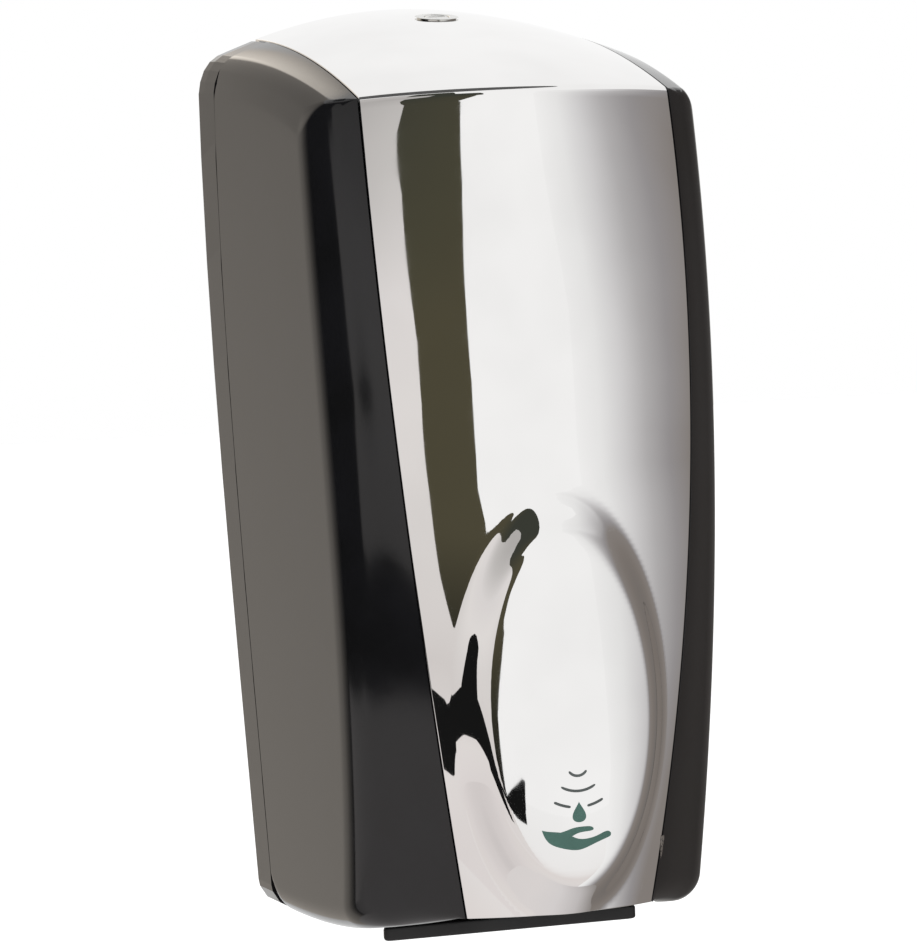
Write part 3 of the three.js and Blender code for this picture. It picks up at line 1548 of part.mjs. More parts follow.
place(dispenser, 'circuit_board', circuitBoard(), 'board');
place(dispenser, 'control_chip', controlChip(), 'blackMatt');
place(dispenser, 'capacitor', capacitor(), 'blackMatt');
place(dispenser, 'switch_housing', switchHousing(), 'blackMatt');
place(dispenser, 'switch_slider', switchSlider(), 'white');
place(dispenser, 'sensor_lens', sensorLens(), 'lens');
place(dispenser, 'ir_emitter', infraredEye(-sensorAcross), 'lens');
place(dispenser, 'ir_detector', infraredEye(sensorAcross), 'lens');
place(dispenser, 'sensor_board', sensorBoard(), 'board');

export default dispenser;
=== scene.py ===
"""Wall-hung touch-free foam soap dispenser: its finished surfaces and materials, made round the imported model.

Lengths in the shape functions are millimetres. Depth is the distance forward of the wall, so depth d lies at y = -d.
"""

import math

import bmesh
import bpy
import numpy as np
from bpy.props import FloatProperty, FloatVectorProperty, IntProperty, PointerProperty
from mathutils import Matrix, Vector


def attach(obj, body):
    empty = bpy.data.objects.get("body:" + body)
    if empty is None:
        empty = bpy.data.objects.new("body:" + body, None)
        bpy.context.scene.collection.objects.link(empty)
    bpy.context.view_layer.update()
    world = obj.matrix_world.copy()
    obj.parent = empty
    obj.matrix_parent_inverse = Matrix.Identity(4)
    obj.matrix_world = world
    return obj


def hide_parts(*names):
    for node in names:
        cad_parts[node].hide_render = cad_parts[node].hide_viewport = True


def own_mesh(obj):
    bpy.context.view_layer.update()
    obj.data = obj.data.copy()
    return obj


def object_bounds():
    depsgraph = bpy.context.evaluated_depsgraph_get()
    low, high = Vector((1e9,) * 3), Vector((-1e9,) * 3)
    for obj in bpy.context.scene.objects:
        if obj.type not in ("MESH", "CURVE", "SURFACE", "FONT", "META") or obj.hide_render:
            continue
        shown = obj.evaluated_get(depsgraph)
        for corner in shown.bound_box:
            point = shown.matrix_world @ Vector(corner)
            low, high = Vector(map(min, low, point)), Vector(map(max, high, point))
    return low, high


bl_info = {
    "name": "Touch-free foam soap dispenser",
    "version": (1, 0, 0),
    "blender": (4, 5, 0),
    "location": "3D View > Sidebar > Dispenser",
    "description": "Builds the finished surfaces, materials and studio of a wall-hung foam soap dispenser",
    "category": "Object",
}

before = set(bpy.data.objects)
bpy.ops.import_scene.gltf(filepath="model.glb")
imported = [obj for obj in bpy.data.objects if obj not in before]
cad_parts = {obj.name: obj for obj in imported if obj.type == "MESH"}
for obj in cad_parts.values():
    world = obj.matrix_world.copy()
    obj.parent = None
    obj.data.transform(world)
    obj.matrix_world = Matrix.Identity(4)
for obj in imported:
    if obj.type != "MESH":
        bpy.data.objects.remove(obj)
CAD_BOX = [list(corner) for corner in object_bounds()]

MM = 0.001
WIDTH, HEIGHT, DEPTH = 132.0, 277.0, 133.0
HALF_WIDTH, HALF_HEIGHT = WIDTH / 2, HEIGHT / 2

# Outline of the cover at four even heights, bottom to top, as shares of half the width or of the depth
WALL_EDGE = (0.8356, 0.9146, 0.9787, 0.9955)
CORNER_WIDTH = (0.8423, 0.8901, 0.9325, 0.9069)
CORNER_DEPTH = (0.6694, 0.7671, 0.7418, 0.6431)
SEAM_WIDTH = (0.4125, 0.6175, 0.7234, 0.7204)
SEAM_DEPTH = (0.8573, 0.8931, 0.8403, 0.6911)
FRONT_DEPTH = (0.9096, 0.9351, 0.8989, 0.842)

# Shares of the side's columns, from the parting line, at which its corner's curve starts and ends
CORNER_START, CORNER_END = 0.5, 0.72
# Reach of that curve, radius of the lower edge, and how far the facet bows
CORNER_ROUND, BOTTOM_ROUND, FACET_TURN = 9.0, 8.0, 0.07
# Ends of the cover and of the panel: depth at the rear, height at the bottom
COVER_REAR, COVER_BOTTOM = 13.7, -136.5
PANEL_REAR, PANEL_BOTTOM = 1.0, -126.5
# Hinge axis (depth, height), the cover's round about it, and the sweep of its underside
HINGE, HINGE_ROUND = (20.3, -129.5), 7.0
UNDERSIDE_FRONT, UNDERSIDE_BULGE = 113.0, 2.2
# Fall of the roof, its arch at rear and front, and its eaves
ROOF_SLOPE, ROOF_CURVE = 0.0502, 0.1984
ARCH_REAR, ARCH_FRONT = 15.5, 12.6
EAVE_WIDTH, EAVE_DROP, EAVE_BULGE, EAVE_HEIGHTS = 6.5, 12.0, (0.88, 0.24), (114.0, 101.5)
# Reach of the curves over the side's top edge and over the panel's crease, and how far rows crowd towards the start
EDGE_EASING, PANEL_FOLD, ROW_CROWDING = 2.0, 1.6, 1.6
# Nose: height of its middle, half sizes of its foot and of its face, height at the top and at the bottom
NOSE_CENTRE, NOSE_OUTER, NOSE_INNER = -66.0, (33.6, 64.0), (24.0, 47.5)
NOSE_HEIGHTS, NOSE_FOOT = (4.4, 9.13), 1.5
# Ledge under the panel: its seat below the face, its wall, its reach past the seam, and the frame of its window
PANEL_SEAT, LEDGE_WALL, LEDGE_REACH, WINDOW_FRAME = 2.5, 2.2, 1.5, 7.0
WINDOW_BOTTOM, WINDOW_TOP = PANEL_BOTTOM + 9, 100.0
# Hinge lug: inner and outer radius, length, and where it starts beside the middle
LUG_RADII, LUG_LENGTH, LUG_START = (2.7, 6.0), 6.0, 44.5
# Lock: depth of its axis, its reach below the roof, the plug's radius, and the key slot's half sizes and floor
LOCK_DEPTH, LOCK_REACH, PLUG_RADIUS = 34.0, -14.0, 3.6
KEY_HALF, KEY_FLOOR = (2.6, 0.5), -1.2
# Foot bar and its web: half length, depth and height, and the height of the middle; the bar narrows at the rear
BAR_HALF, BAR_HEIGHT, BAR_TAPER = (41.5, 6.5, 2.25), -136.25, 6.5
WEB_HALF, WEB_HEIGHT, FOOT_DEPTH = (27.2, 3.2, 5.0), -130.9, 68.2
# Indicator: middle and half sizes, and the fall of the facet under its outer part
INDICATOR, INDICATOR_HALF, FACET_FALL = (33.0, -110.3), (1.3, 3.5), 1.1
# The sign stands this far right of the middle line, and its strokes are twice this wide
SIGN_ACROSS, STROKE_HALF = 0.6, 0.4
# Return spring: depth of its axis, radii of coil and wire, turns, heights of its ends and of the seat above it, and
# how far the nozzle rises
SPRING_DEPTH, SPRING_RADIUS, SPRING_WIRE, SPRING_TURNS = 86.0, 9.4, 0.54, 4
SPRING_HEIGHTS, SPRING_SEAT, NOZZLE_RISE = (-103.1, -92.37), -92.3, 9.0


# Shapes


def at_height(shares, z):
    """Cubic through four shares at even heights: Lagrange's sum with t = 0, 1, 2, 3 from the bottom to the top."""
    t = 3 * (z + HALF_HEIGHT) / HEIGHT
    a, b, c, d = shares
    lower = -a * (t - 1) * (t - 2) * (t - 3) / 6 + b * t * (t - 2) * (t - 3) / 2
    return lower - c * t * (t - 1) * (t - 3) / 2 + d * t * (t - 1) * (t - 2) / 6


def seam_half(z):
    """Half the front panel's width at a height."""
    return HALF_WIDTH * at_height(SEAM_WIDTH, z)


def seam_depth(z):
    """Depth of the seam between panel and shell at a height."""
    return DEPTH * at_height(SEAM_DEPTH, z)


def plain_front(x, z):
    """Depth of the front without its nose: a parabola across, from the seams to the middle line."""
    edge = seam_depth(z)
    return edge + (DEPTH * at_height(FRONT_DEPTH, z) - edge) * (1 - (x / seam_half(z)) ** 2)


def nose(x, z):
    """Height of the nose over the plain front: full inside one ellipse, none outside another, a smooth step between.

    A power of the way between them makes the step steeper near its foot."""
    up = z - NOSE_CENTRE
    reach = np.hypot(x / NOSE_OUTER[0], up / NOSE_OUTER[1])
    inner = np.hypot(x / NOSE_INNER[0], up / NOSE_INNER[1])
    slope = np.clip((inner - 1) / np.maximum(inner - reach, 1e-9), 0, 1) ** NOSE_FOOT
    along = np.clip((NOSE_INNER[1] - up) / (2 * NOSE_INNER[1]), 0, 1)
    height = NOSE_HEIGHTS[0] + (NOSE_HEIGHTS[1] - NOSE_HEIGHTS[0]) * along
    return (1 - slope**2 * (3 - 2 * slope)) * height


def front(x, z):
    """Depth of the panel's face at a place, nose and all."""
    return plain_front(x, z) + nose(x, z)


def roof(x, d):
    """Height of the roof: falls forward along a parabola, arched from side to side."""
    arch = ARCH_REAR + (ARCH_FRONT - ARCH_REAR) * d / DEPTH
    return HALF_HEIGHT - ROOF_SLOPE * d - ROOF_CURVE * d * d / DEPTH - arch * (x / HALF_WIDTH) ** 2


def eave_half(d):
    """Half-width of the eaves at a depth: a line from the wall edge to the front corner, just below the eaves."""
    rear = HALF_WIDTH * at_height(WALL_EDGE, EAVE_HEIGHTS[0])
    ahead = HALF_WIDTH * at_height(CORNER_WIDTH, EAVE_HEIGHTS[1])
    return rear + (ahead - rear) * d / (DEPTH * at_height(CORNER_DEPTH, EAVE_HEIGHTS[1]))


def eave(x, d):
    """Height of the roof with its rounded eaves: the roof inside the eave's edge, a quadratic curve outside it."""
    edge = eave_half(d) - EAVE_WIDTH
    out = np.clip(x - edge, 0, EAVE_WIDTH)
    lean = 2 * EAVE_WIDTH * EAVE_BULGE[0]
    bend = lean - EAVE_WIDTH
    t = (lean - np.sqrt(np.maximum(lean**2 - 4 * bend * out, 0))) / (2 * bend)
    drop = EAVE_DROP * (2 * t * (1 - t) * EAVE_BULGE[1] + t * t)
    return roof(np.minimum(x, edge), d) - drop


def under_edge(d):
    """Height of the cover's lower edge: round about the hinge, then a cubic sweep up to the front."""
    t = np.clip((d - HINGE[0]) / (UNDERSIDE_FRONT - HINGE[0]), 0, 1)
    sweep = COVER_BOTTOM + 3 * t * t * (1 - t) * UNDERSIDE_BULGE + t**3 * (PANEL_BOTTOM - COVER_BOTTOM)
    behind = np.clip(HINGE[0] - d, 0, HINGE_ROUND)
    return np.where(d < HINGE[0], HINGE[1] - np.sqrt(HINGE_ROUND**2 - behind**2), sweep)


def side_plan(s, z):
    """Half-width and depth of the cover's side: straight to the corner, a quadratic curve, straight to the seam.

    s runs from 0 at the parting line to 1 at the seam; the bottom draws in along a quarter circle. The facet bows out
    by a cubic that is flat with the corner and turns a little to the front beside the seam."""
    fall = np.clip(COVER_BOTTOM + BOTTOM_ROUND - z, 0, BOTTOM_ROUND)
    draw = BOTTOM_ROUND - np.sqrt(BOTTOM_ROUND**2 - fall**2)
    wall = np.stack([HALF_WIDTH * at_height(WALL_EDGE, z) - draw, 0 * z], -1)
    corner = np.stack([HALF_WIDTH * at_height(CORNER_WIDTH, z) - draw, DEPTH * at_height(CORNER_DEPTH, z)], -1)
    seam = np.stack([seam_half(z), seam_depth(z)], -1)
    norm = lambda v: np.linalg.norm(v, axis=-1, keepdims=True)
    back = corner + (wall - corner) * CORNER_ROUND / norm(wall - corner)
    ahead = corner + (seam - corner) * CORNER_ROUND / norm(seam - corner)
    start = wall + (back - wall) * (COVER_REAR / back[..., 1:])
    s = s[..., None]
    straight = start + (back - start) * s / CORNER_START
    t = np.clip((s - CORNER_START) / (CORNER_END - CORNER_START), 0, 1)
    bend = (1 - t) ** 2 * back + 2 * t * (1 - t) * corner + t * t * ahead
    u = (s - CORNER_END) / (1 - CORNER_END)
    across = np.stack([seam[..., 1] - ahead[..., 1], ahead[..., 0] - seam[..., 0]], -1)
    facet = ahead + (seam - ahead) * u + across * FACET_TURN * u * u * (1 - u)
    return np.where(s < CORNER_START, straight, np.where(s < CORNER_END, bend, facet))


def tuck(above, s):
    """How far the side draws in near its lower edge: a quarter circle, easing off over the facet to nothing."""
    fall = np.clip(BOTTOM_ROUND - above, 0, BOTTOM_ROUND)
    ease = np.sin(np.pi / 2 * np.clip((1 - s) / (1 - CORNER_END), 0, 1))
    return (BOTTOM_ROUND - np.sqrt(BOTTOM_ROUND**2 - fall**2)) * ease


def side_surface(columns, rows):
    """Grid of the right side: up each upright line from the lower edge, round the top edge, and in to the seam.

    Its columns run from the seam back to the parting line; the top edge is a quadratic curve through the crease."""
    s = np.linspace(1, 0, columns)
    low = np.full(columns, COVER_BOTTOM)
    high = np.full(columns, 118.0)
    for _ in range(30):
        low = under_edge(side_plan(s, low)[:, 1])
        plan = side_plan(s, high)
        high = eave(plan[:, 0], plan[:, 1])
    plan = side_plan(s, high)
    crease = np.stack([plan[:, 0], -plan[:, 1], high], -1)
    seam_x = seam_half(roof(seam_half(high), plan[:, 1]))
    run = np.maximum(crease[:, 0] - seam_x, 0)
    easing = np.minimum(EDGE_EASING, 0.5 * run)
    share = np.linspace(0, 1, rows)[:, None] ** ROW_CROWDING
    z = low + (high - easing - low) * share
    upright = side_plan(np.broadcast_to(s, z.shape), z)
    wall = np.stack([upright[..., 0] - tuck(z - low, s) + tuck(z - COVER_BOTTOM, s), -upright[..., 1], z], -1)
    inward = np.linspace(0, 1, rows // 3)[:, None] ** ROW_CROWDING
    x = crease[:, 0] - easing - (run - easing) * inward
    d = np.broadcast_to(plan[:, 1], x.shape)
    top = np.stack([x, -d, eave(x, d)], -1)
    t = np.linspace(0, 1, 7)[1:-1, None, None]
    fold = (1 - t) ** 2 * wall[-1] + 2 * t * (1 - t) * crease + t * t * top[0]
    return np.concatenate([wall, fold, top])


def panel_surface(columns, rows, margin, raised=True):
    """Grid of the panel's face: up the front, a quadratic fold over the crease, then back over the roof.

    Columns are even shares of the width between the seams; margin is added to each half of it."""
    face = front if raised else plain_front
    share = np.linspace(-1, 1, columns)
    across = lambda z: share * (seam_half(z) + margin)
    crease = np.full(columns, 113.0)
    for _ in range(30):
        crease = roof(across(crease), face(across(crease), crease))
    t = np.linspace(0, 1, rows)[:, None]
    z = PANEL_BOTTOM + (crease - PANEL_FOLD - PANEL_BOTTOM) * t
    x = across(z)
    rise = np.stack([x, -face(x, z), z], -1)
    edge = across(crease)
    ridge = np.stack([edge, -face(edge, crease), crease], -1)
    ahead = -ridge[:, 1] - PANEL_FOLD
    d = ahead - (ahead - PANEL_REAR) * np.linspace(0, 1, rows // 3)[:, None]
    x = across(roof(edge, d))
    top = np.stack([x, -d, roof(x, d)], -1)
    t = np.linspace(0, 1, 7)[1:-1, None, None]
    bend = (1 - t) ** 2 * rise[-1] + 2 * t * (1 - t) * ridge + t * t * top[0]
    return np.concatenate([rise, bend, top])


def offset(grid, distance):
    """The grid moved inward along its own normals: the cross product of its two directions."""
    normal = np.cross(np.gradient(grid, axis=1), np.gradient(grid, axis=0))
    size = np.linalg.norm(normal, axis=-1, keepdims=True)
    flat = size[..., 0] < 1e-6
    normal = normal / np.maximum(size, 1e-9)
    before = np.roll(normal, 1, axis=1)
    normal[flat] = before[flat]
    return grid - normal * distance


def closed_shell(outer, inner, keep=None):
    """A wall between two grids: both faces, and a strip wherever a kept cell has no kept neighbour."""
    rows, columns = outer.shape[:2]
    keep = np.ones((rows - 1, columns - 1), bool) if keep is None else keep
    number = np.arange(rows * columns).reshape(rows, columns)
    a, b, c, d = number[:-1, :-1], number[:-1, 1:], number[1:, 1:], number[1:, :-1]
    face = np.stack([a, b, c, d], -1)[keep]
    size = rows * columns
    faces = [face, face[:, ::-1] + size]
    ringed = np.pad(keep, 1)
    beside = (ringed[:-2, 1:-1], ringed[2:, 1:-1], ringed[1:-1, :-2], ringed[1:-1, 2:])
    for other, p, q in zip(beside, (a, c, d, b), (b, d, a, c)):
        edge = keep & ~other
        faces.append(np.stack([q[edge], p[edge], p[edge] + size, q[edge] + size], -1))
    return np.concatenate([outer.reshape(-1, 3), inner.reshape(-1, 3)]), np.concatenate(faces)


def filleted(corners, radius, steps=4):
    """A profile whose inner corners are quadratic curves that start and end a radius from the corner."""
    corners = np.asarray(corners, float)
    path = [corners[:1]]
    t = np.linspace(0, 1, steps + 1)[:, None]
    for before, at, after in zip(corners, corners[1:], corners[2:]):
        reach = min(radius, *(0.5 * np.linalg.norm(v) for v in (before - at, after - at)))
        start = at + (before - at) * reach / np.linalg.norm(before - at)
        end = at + (after - at) * reach / np.linalg.norm(after - at)
        path.append((1 - t) ** 2 * start + 2 * t * (1 - t) * at + t * t * end)
    return np.concatenate([*path, corners[-1:]])


def revolved(profile, sides=72):
    """A profile of radius and height turned about the upright axis: x = r cos a, y = r sin a, z = h."""
    angle = np.linspace(0, 2 * np.pi, sides + 1)
    radius, height = np.asarray(profile, float).T
    ring = np.stack([np.cos(angle), np.sin(angle)], -1)
    grid = np.concatenate(
        [radius[:, None, None] * ring, np.broadcast_to(height[:, None, None], (len(radius), sides + 1, 1))], -1
    )
    return grid_faces(grid)


def grid_faces(grid):
    """Points and quads of one grid."""
    number = np.arange(grid[..., 0].size).reshape(grid.shape[:2])
    faces = np.stack([number[:-1, :-1], number[:-1, 1:], number[1:, 1:], number[1:, :-1]], -1)
    return grid.reshape(-1, 3), faces.reshape(-1, 4)


def moved(part, matrix):
    """A part turned and moved by a 4 x 4 matrix."""
    points, faces = part
    matrix = np.array(matrix)
    return points @ matrix[:3, :3].T + matrix[:3, 3], faces


def mirrored(part):
    """A part's copy on the other side of the middle, with its faces turned back outwards."""
    points, faces = part
    return points * (-1, 1, 1), faces[:, ::-1]


def outward(part):
    """A part with its faces turned if its signed volume is negative."""
    points, faces = part
    a, b, c, d = (points[faces[:, i]] for i in range(4))
    volume = np.einsum("ij,ij->", a, np.cross(b, c)) + np.einsum("ij,ij->", a, np.cross(c, d))
    return (points, faces) if volume > 0 else (points, faces[:, ::-1])


def on_front(u, v, lift, thick):
    """Plan points (x, z) laid on the panel's face: the outer grid stands proud by lift, the inner is thick below it."""
    depth = front(u, v)
    outer = np.stack([u, -(depth + lift), v], -1)
    return closed_shell(outer, outer + (0, thick, 0))


def make(name, parts, material, body, replaced=(), angle=32.0, bevel=0.0):
    """One mesh object from closed parts in millimetres: welded, smooth below the angle, riding on its body."""
    points, faces, start = [], [], 0
    for part_points, part_faces in (outward(part) for part in parts):
        points.append(part_points)
        faces.append(part_faces + start)
        start += len(part_points)
    points, faces = np.concatenate(points), np.concatenate(faces)
    used, faces = np.unique(faces, return_inverse=True)
    faces = faces.reshape(-1, 4)
    mesh = bpy.data.meshes.new(name)
    mesh.vertices.add(len(used))
    mesh.vertices.foreach_set("co", (points[used] * MM).astype(np.float32).ravel())
    mesh.loops.add(faces.size)
    mesh.loops.foreach_set("vertex_index", faces.astype(np.int32).ravel())
    mesh.polygons.add(len(faces))
    mesh.polygons.foreach_set("loop_start", np.arange(0, faces.size, 4, dtype=np.int32))
    mesh.update(calc_edges=True)
    welded = bmesh.new()
    welded.from_mesh(mesh)
    bmesh.ops.remove_doubles(welded, verts=welded.verts, dist=2e-6)
    bmesh.ops.dissolve_degenerate(welded, edges=welded.edges, dist=1e-7)
    welded.to_mesh(mesh)
    welded.free()
    mesh.polygons.foreach_set("use_smooth", np.ones(len(mesh.polygons), bool))
    mesh.set_sharp_from_angle(angle=math.radians(angle))
    mesh.materials.append(material)
    obj = bpy.data.objects.new(name, mesh)
    bpy.context.scene.collection.objects.link(obj)
    if bevel:
        edge = obj.modifiers.new("rounded edges", "BEVEL")
        edge.width, edge.segments, edge.limit_method = bevel * MM, 3, "ANGLE"
        edge.angle_limit = math.radians(55)
    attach(obj, body)
    if replaced:
        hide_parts(*replaced)
    return obj


# Materials


def linear(text):
    """Linear colour of an sRGB hex value."""
    part = [int(text[i : i + 2], 16) / 255 for i in (1, 3, 5)]
    return [c / 12.92 if c <= 0.04045 else ((c + 0.055) / 1.055) ** 2.4 for c in part] + [1.0]


def add(tree, kind, values=(), **options):
    """Adds a node; values go to its inputs by name, a (node, output) pair as a link, and options to its settings."""
    made = tree.nodes.new(kind)
    for name, value in options.items():
        setattr(made, name, value)
    for name, value in dict(values).items():
        if isinstance(value, tuple) and isinstance(value[0], bpy.types.Node):
            tree.links.new(value[0].outputs[value[1]], made.inputs[name])
        else:
            made.inputs[name].default_value = value
    return made


def surface(name, values):
    """A new material with one Principled shader; returns material, tree, shader and object coordinates."""
    made = bpy.data.materials.new(name)
    made.use_nodes = True
    tree = made.node_tree
    tree.nodes.clear()
    shader = add(tree, "ShaderNodeBsdfPrincipled", values)
    add(tree, "ShaderNodeOutputMaterial", {"Surface": (shader, "BSDF")})
    place = (add(tree, "ShaderNodeTexCoord"), "Object")
    return made, tree, shader, place


def feed(tree, shader, name, source):
    """Links a node's output to one of the shader's inputs."""
    tree.links.new(source[0].outputs[source[1]], shader.inputs[name])


def even(colours):
    """Stops for a ramp, evenly spaced."""
    return [(i / (len(colours) - 1), colour) for i, colour in enumerate(colours)]


def ramp(tree, source, stops):
    """A colour ramp over (position, hex) stops."""
    made = add(tree, "ShaderNodeValToRGB", {"Fac": source})
    while len(made.color_ramp.elements) < len(stops):
        made.color_ramp.elements.new(0.5)
    for element, (position, colour) in zip(made.color_ramp.elements, stops):
        element.position = position
        element.color = linear(colour)
    return made, "Color"


def spread(tree, source, low, high, first=0.3, last=0.7):
    """A texture's middle range mapped to a low and a high value."""
    values = {"Value": source, "From Min": first, "From Max": last, "To Min": low, "To Max": high}
    return add(tree, "ShaderNodeMapRange", values), "Result"


def noise(tree, place, millimetres, detail=2.0):
    """Noise whose patches measure about so many millimetres."""
    values = {"Vector": place, "Scale": 1 / (millimetres * MM), "Detail": detail}
    return add(tree, "ShaderNodeTexNoise", values), "Fac"


def bump(tree, shader, source, height):
    """A relief of the given height in millimetres."""
    values = {"Height": source, "Distance": height * MM, "Strength": 1.0}
    feed(tree, shader, "Normal", (add(tree, "ShaderNodeBump", values), "Normal"))


def plastic(name, colours, roughness, grain, height, ior=1.5, patch=18.0):
    """A moulded plastic: two near shades in soft patches, a roughness that drifts, and the relief of its mould."""
    made, tree, shader, place = surface(name, {"IOR": ior})
    soft = noise(tree, place, patch)
    feed(tree, shader, "Base Color", ramp(tree, soft, [(0.35, colours[0]), (0.65, colours[1])]))
    feed(tree, shader, "Roughness", spread(tree, soft, roughness[0], roughness[1]))
    bump(tree, shader, noise(tree, place, grain), height)
    return made


def metal(name, colours, roughness, grain, stretch=(1, 1, 1), patch=9.0):
    """A metal: two near shades in patches, and its grinding or drawing marks as stretched noise in the roughness."""
    made, tree, shader, place = surface(name, {"Metallic": 1.0})
    feed(tree, shader, "Base Color", ramp(tree, noise(tree, place, patch), [(0.35, colours[0]), (0.65, colours[1])]))
    along = (add(tree, "ShaderNodeMapping", {"Vector": place, "Scale": stretch}), "Vector")
    marks = noise(tree, along, grain, 3.0)
    feed(tree, shader, "Roughness", spread(tree, marks, roughness[0], roughness[1]))
    bump(tree, shader, marks, 0.004)
    return made


def finishes():
    """All materials by short name."""
    made = {}
    # Black ABS from a polished mould: deep gloss, with the faint orange peel of the moulded skin
    made["black_gloss"] = plastic("moulded_gloss_black_abs", ("#111112", "#141416"), (0.085, 0.12), 3.2, 0.004)
    # Black ABS from a spark-eroded mould: fine matt grain, 0.5 mm drawn coarser so that it shows
    made["black_matt"] = plastic("eroded_matt_black_abs", ("#161617", "#1c1c1d"), (0.42, 0.55), 0.5, 0.02)
    made["grey_matt"] = plastic("eroded_matt_grey_abs", ("#6d6f72", "#75777a"), (0.45, 0.58), 0.5, 0.02)
    # Chrome plated on polished ABS: mirror bright, with a very slight waviness of the moulding under it
    chrome, tree, shader, place = surface("chrome_plated_abs", {"Metallic": 1.0})
    soft = noise(tree, place, 30.0)
    feed(tree, shader, "Base Color", ramp(tree, soft, [(0.3, "#edeceb"), (0.7, "#f3f2f1")]))
    feed(tree, shader, "Roughness", spread(tree, noise(tree, place, 7.0), 0.015, 0.03))
    bump(tree, shader, soft, 0.004)
    made["chrome"] = chrome
    # Nickel-plated die-cast zinc of the lock: bright, with fine turned marks
    made["nickel"] = metal("nickel_plated_zinc", ("#c9c8c4", "#dad9d6"), (0.12, 0.22), 0.7)
    # Zinc-plated steel: pale, slightly blue, with drawing marks along X
    made["steel"] = metal("zinc_plated_steel", ("#a9adb0", "#bfc2c4"), (0.22, 0.38), 0.6, (0.15, 1, 1))
    made["spring_steel"] = metal("drawn_spring_steel", ("#8d8f91", "#a3a5a6"), (0.2, 0.34), 0.5)
    made["brass"] = metal("nickel_plated_brass", ("#b9a988", "#cbbd9d"), (0.2, 0.34), 0.8)
    # Acetal: white, waxy, machined or moulded teeth
    made["acetal"] = plastic("moulded_white_acetal", ("#e4e2da", "#ece9e1"), (0.28, 0.36), 1.2, 0.006, 1.48)
    made["white"] = plastic("moulded_white_abs", ("#dcdcda", "#e4e4e2"), (0.35, 0.45), 0.8, 0.01)
    made["refill"] = refill_plastic()
    made["cell"] = cell_sleeve()
    made["board"] = board_laminate()
    made["chip"] = plastic("moulded_black_epoxy", ("#17181a", "#1f2022"), (0.5, 0.65), 0.4, 0.015)
    made["lens"] = plastic("infrared_black_polycarbonate", ("#12080b", "#190c10"), (0.06, 0.1), 2.5, 0.003, 1.58)
    made["eye"] = plastic("clear_epoxy_eye", ("#3a2f45", "#463a52"), (0.08, 0.14), 1.5, 0.003, 1.55)
    made["indicator"] = indicator_lens_plastic()
    made["sign_teal"] = plastic("pad_printed_teal_ink", ("#3d6359", "#456c62"), (0.3, 0.42), 0.35, 0.004)
    made["sign_grey"] = plastic("pad_printed_grey_ink", ("#484e4d", "#515756"), (0.3, 0.42), 0.35, 0.004)
    return made


def refill_plastic():
    """Blow-moulded polyethylene over pink soap: milky, with a soft and slightly uneven gloss."""
    made, tree, shader, place = surface("blow_moulded_milky_polyethylene", {"IOR": 1.5})
    rise = add(tree, "ShaderNodeSeparateXYZ", {"Vector": place})
    level = spread(tree, (rise, "Z"), 0, 1, 0.05, 0.075)
    feed(tree, shader, "Base Color", ramp(tree, level, [(0.0, "#dfc9cc"), (1.0, "#e9e9e6")]))
    feed(tree, shader, "Roughness", spread(tree, noise(tree, place, 40.0, 0.0), 0.34, 0.42))
    return made


def cell_sleeve():
    """Shrunk printed sleeve of a dry cell: dark blue with a copper-coloured band at the lower end."""
    made, tree, shader, place = surface("shrunk_pvc_sleeve", {"IOR": 1.53})
    rise = add(tree, "ShaderNodeSeparateXYZ", {"Vector": place})
    band = spread(tree, (rise, "Z"), 0, 1, -0.102, -0.100)
    feed(tree, shader, "Base Color", ramp(tree, band, [(0.0, "#b3713f"), (1.0, "#1f2c45")]))
    feed(tree, shader, "Roughness", spread(tree, noise(tree, place, 6.0), 0.2, 0.34))
    bump(tree, shader, noise(tree, place, 4.0), 0.02)
    return made


def board_laminate():
    """Green solder mask on glass laminate: copper tracks, 1 mm wide, show through as lighter stripes."""
    made, tree, shader, place = surface("solder_masked_glass_laminate", {"IOR": 1.52})
    tracks = add(tree, "ShaderNodeTexBrick", {"Vector": place, "Scale": 260.0, "Mortar Size": 0.03}, offset=0.37)
    feed(tree, shader, "Base Color", ramp(tree, (tracks, "Fac"), [(0.2, "#14492c"), (0.8, "#2a6a44")]))
    feed(tree, shader, "Roughness", spread(tree, noise(tree, place, 5.0), 0.28, 0.4))
    bump(tree, shader, (tracks, "Fac"), 0.03)
    return made


def indicator_lens_plastic():
    """Grey-brown smoked polycarbonate with dark specks, about 0.4 mm, of the light guide behind it."""
    made, tree, shader, place = surface("smoked_polycarbonate", {"IOR": 1.58})
    specks = add(tree, "ShaderNodeTexVoronoi", {"Vector": place, "Scale": 1400.0}, feature="F1")
    feed(tree, shader, "Base Color", ramp(tree, (specks, "Distance"), [(0.25, "#2a2725"), (0.5, "#6f6862")]))
    feed(tree, shader, "Roughness", spread(tree, noise(tree, place, 2.0), 0.16, 0.3))
    bump(tree, shader, (specks, "Distance"), 0.03)
    return made


# Which finish each carried-over node takes
NODE_FINISH = {
    "black_gloss": ["back_plate"],
    "black_matt": ["chassis", "battery_box", "battery_door", "nozzle_shroud", "switch_housing"],
    "grey_matt": ["gear_plate", "switch_slider"],
    "nickel": ["lock_nut", "lock_cam", "motor"],
    "steel": [
        "latch_keeper", "motor_bracket", "drive_shaft", "idler_shaft", "guide_rod_left", "guide_rod_right",
        "wall_screw_1", "wall_screw_2", "wall_screw_3", "wall_screw_4", "hinge_pin_left", "hinge_pin_right",
    ],
    "brass": ["contact_strip_lower", "contact_strip_upper", "motor_pinion"],
    "acetal": ["drive_gear", "idler_gear", "actuator_carriage"],
    "white": ["refill_collar", "pump_body", "pump_nozzle"],
    "refill": ["refill_bottle"],
    "cell": ["battery_cell_1", "battery_cell_2", "battery_cell_3"],
    "board": ["circuit_board", "sensor_board"],
    "chip": ["control_chip", "capacitor"],
    "lens": ["sensor_lens"],
    "eye": ["ir_emitter", "ir_detector"],
}

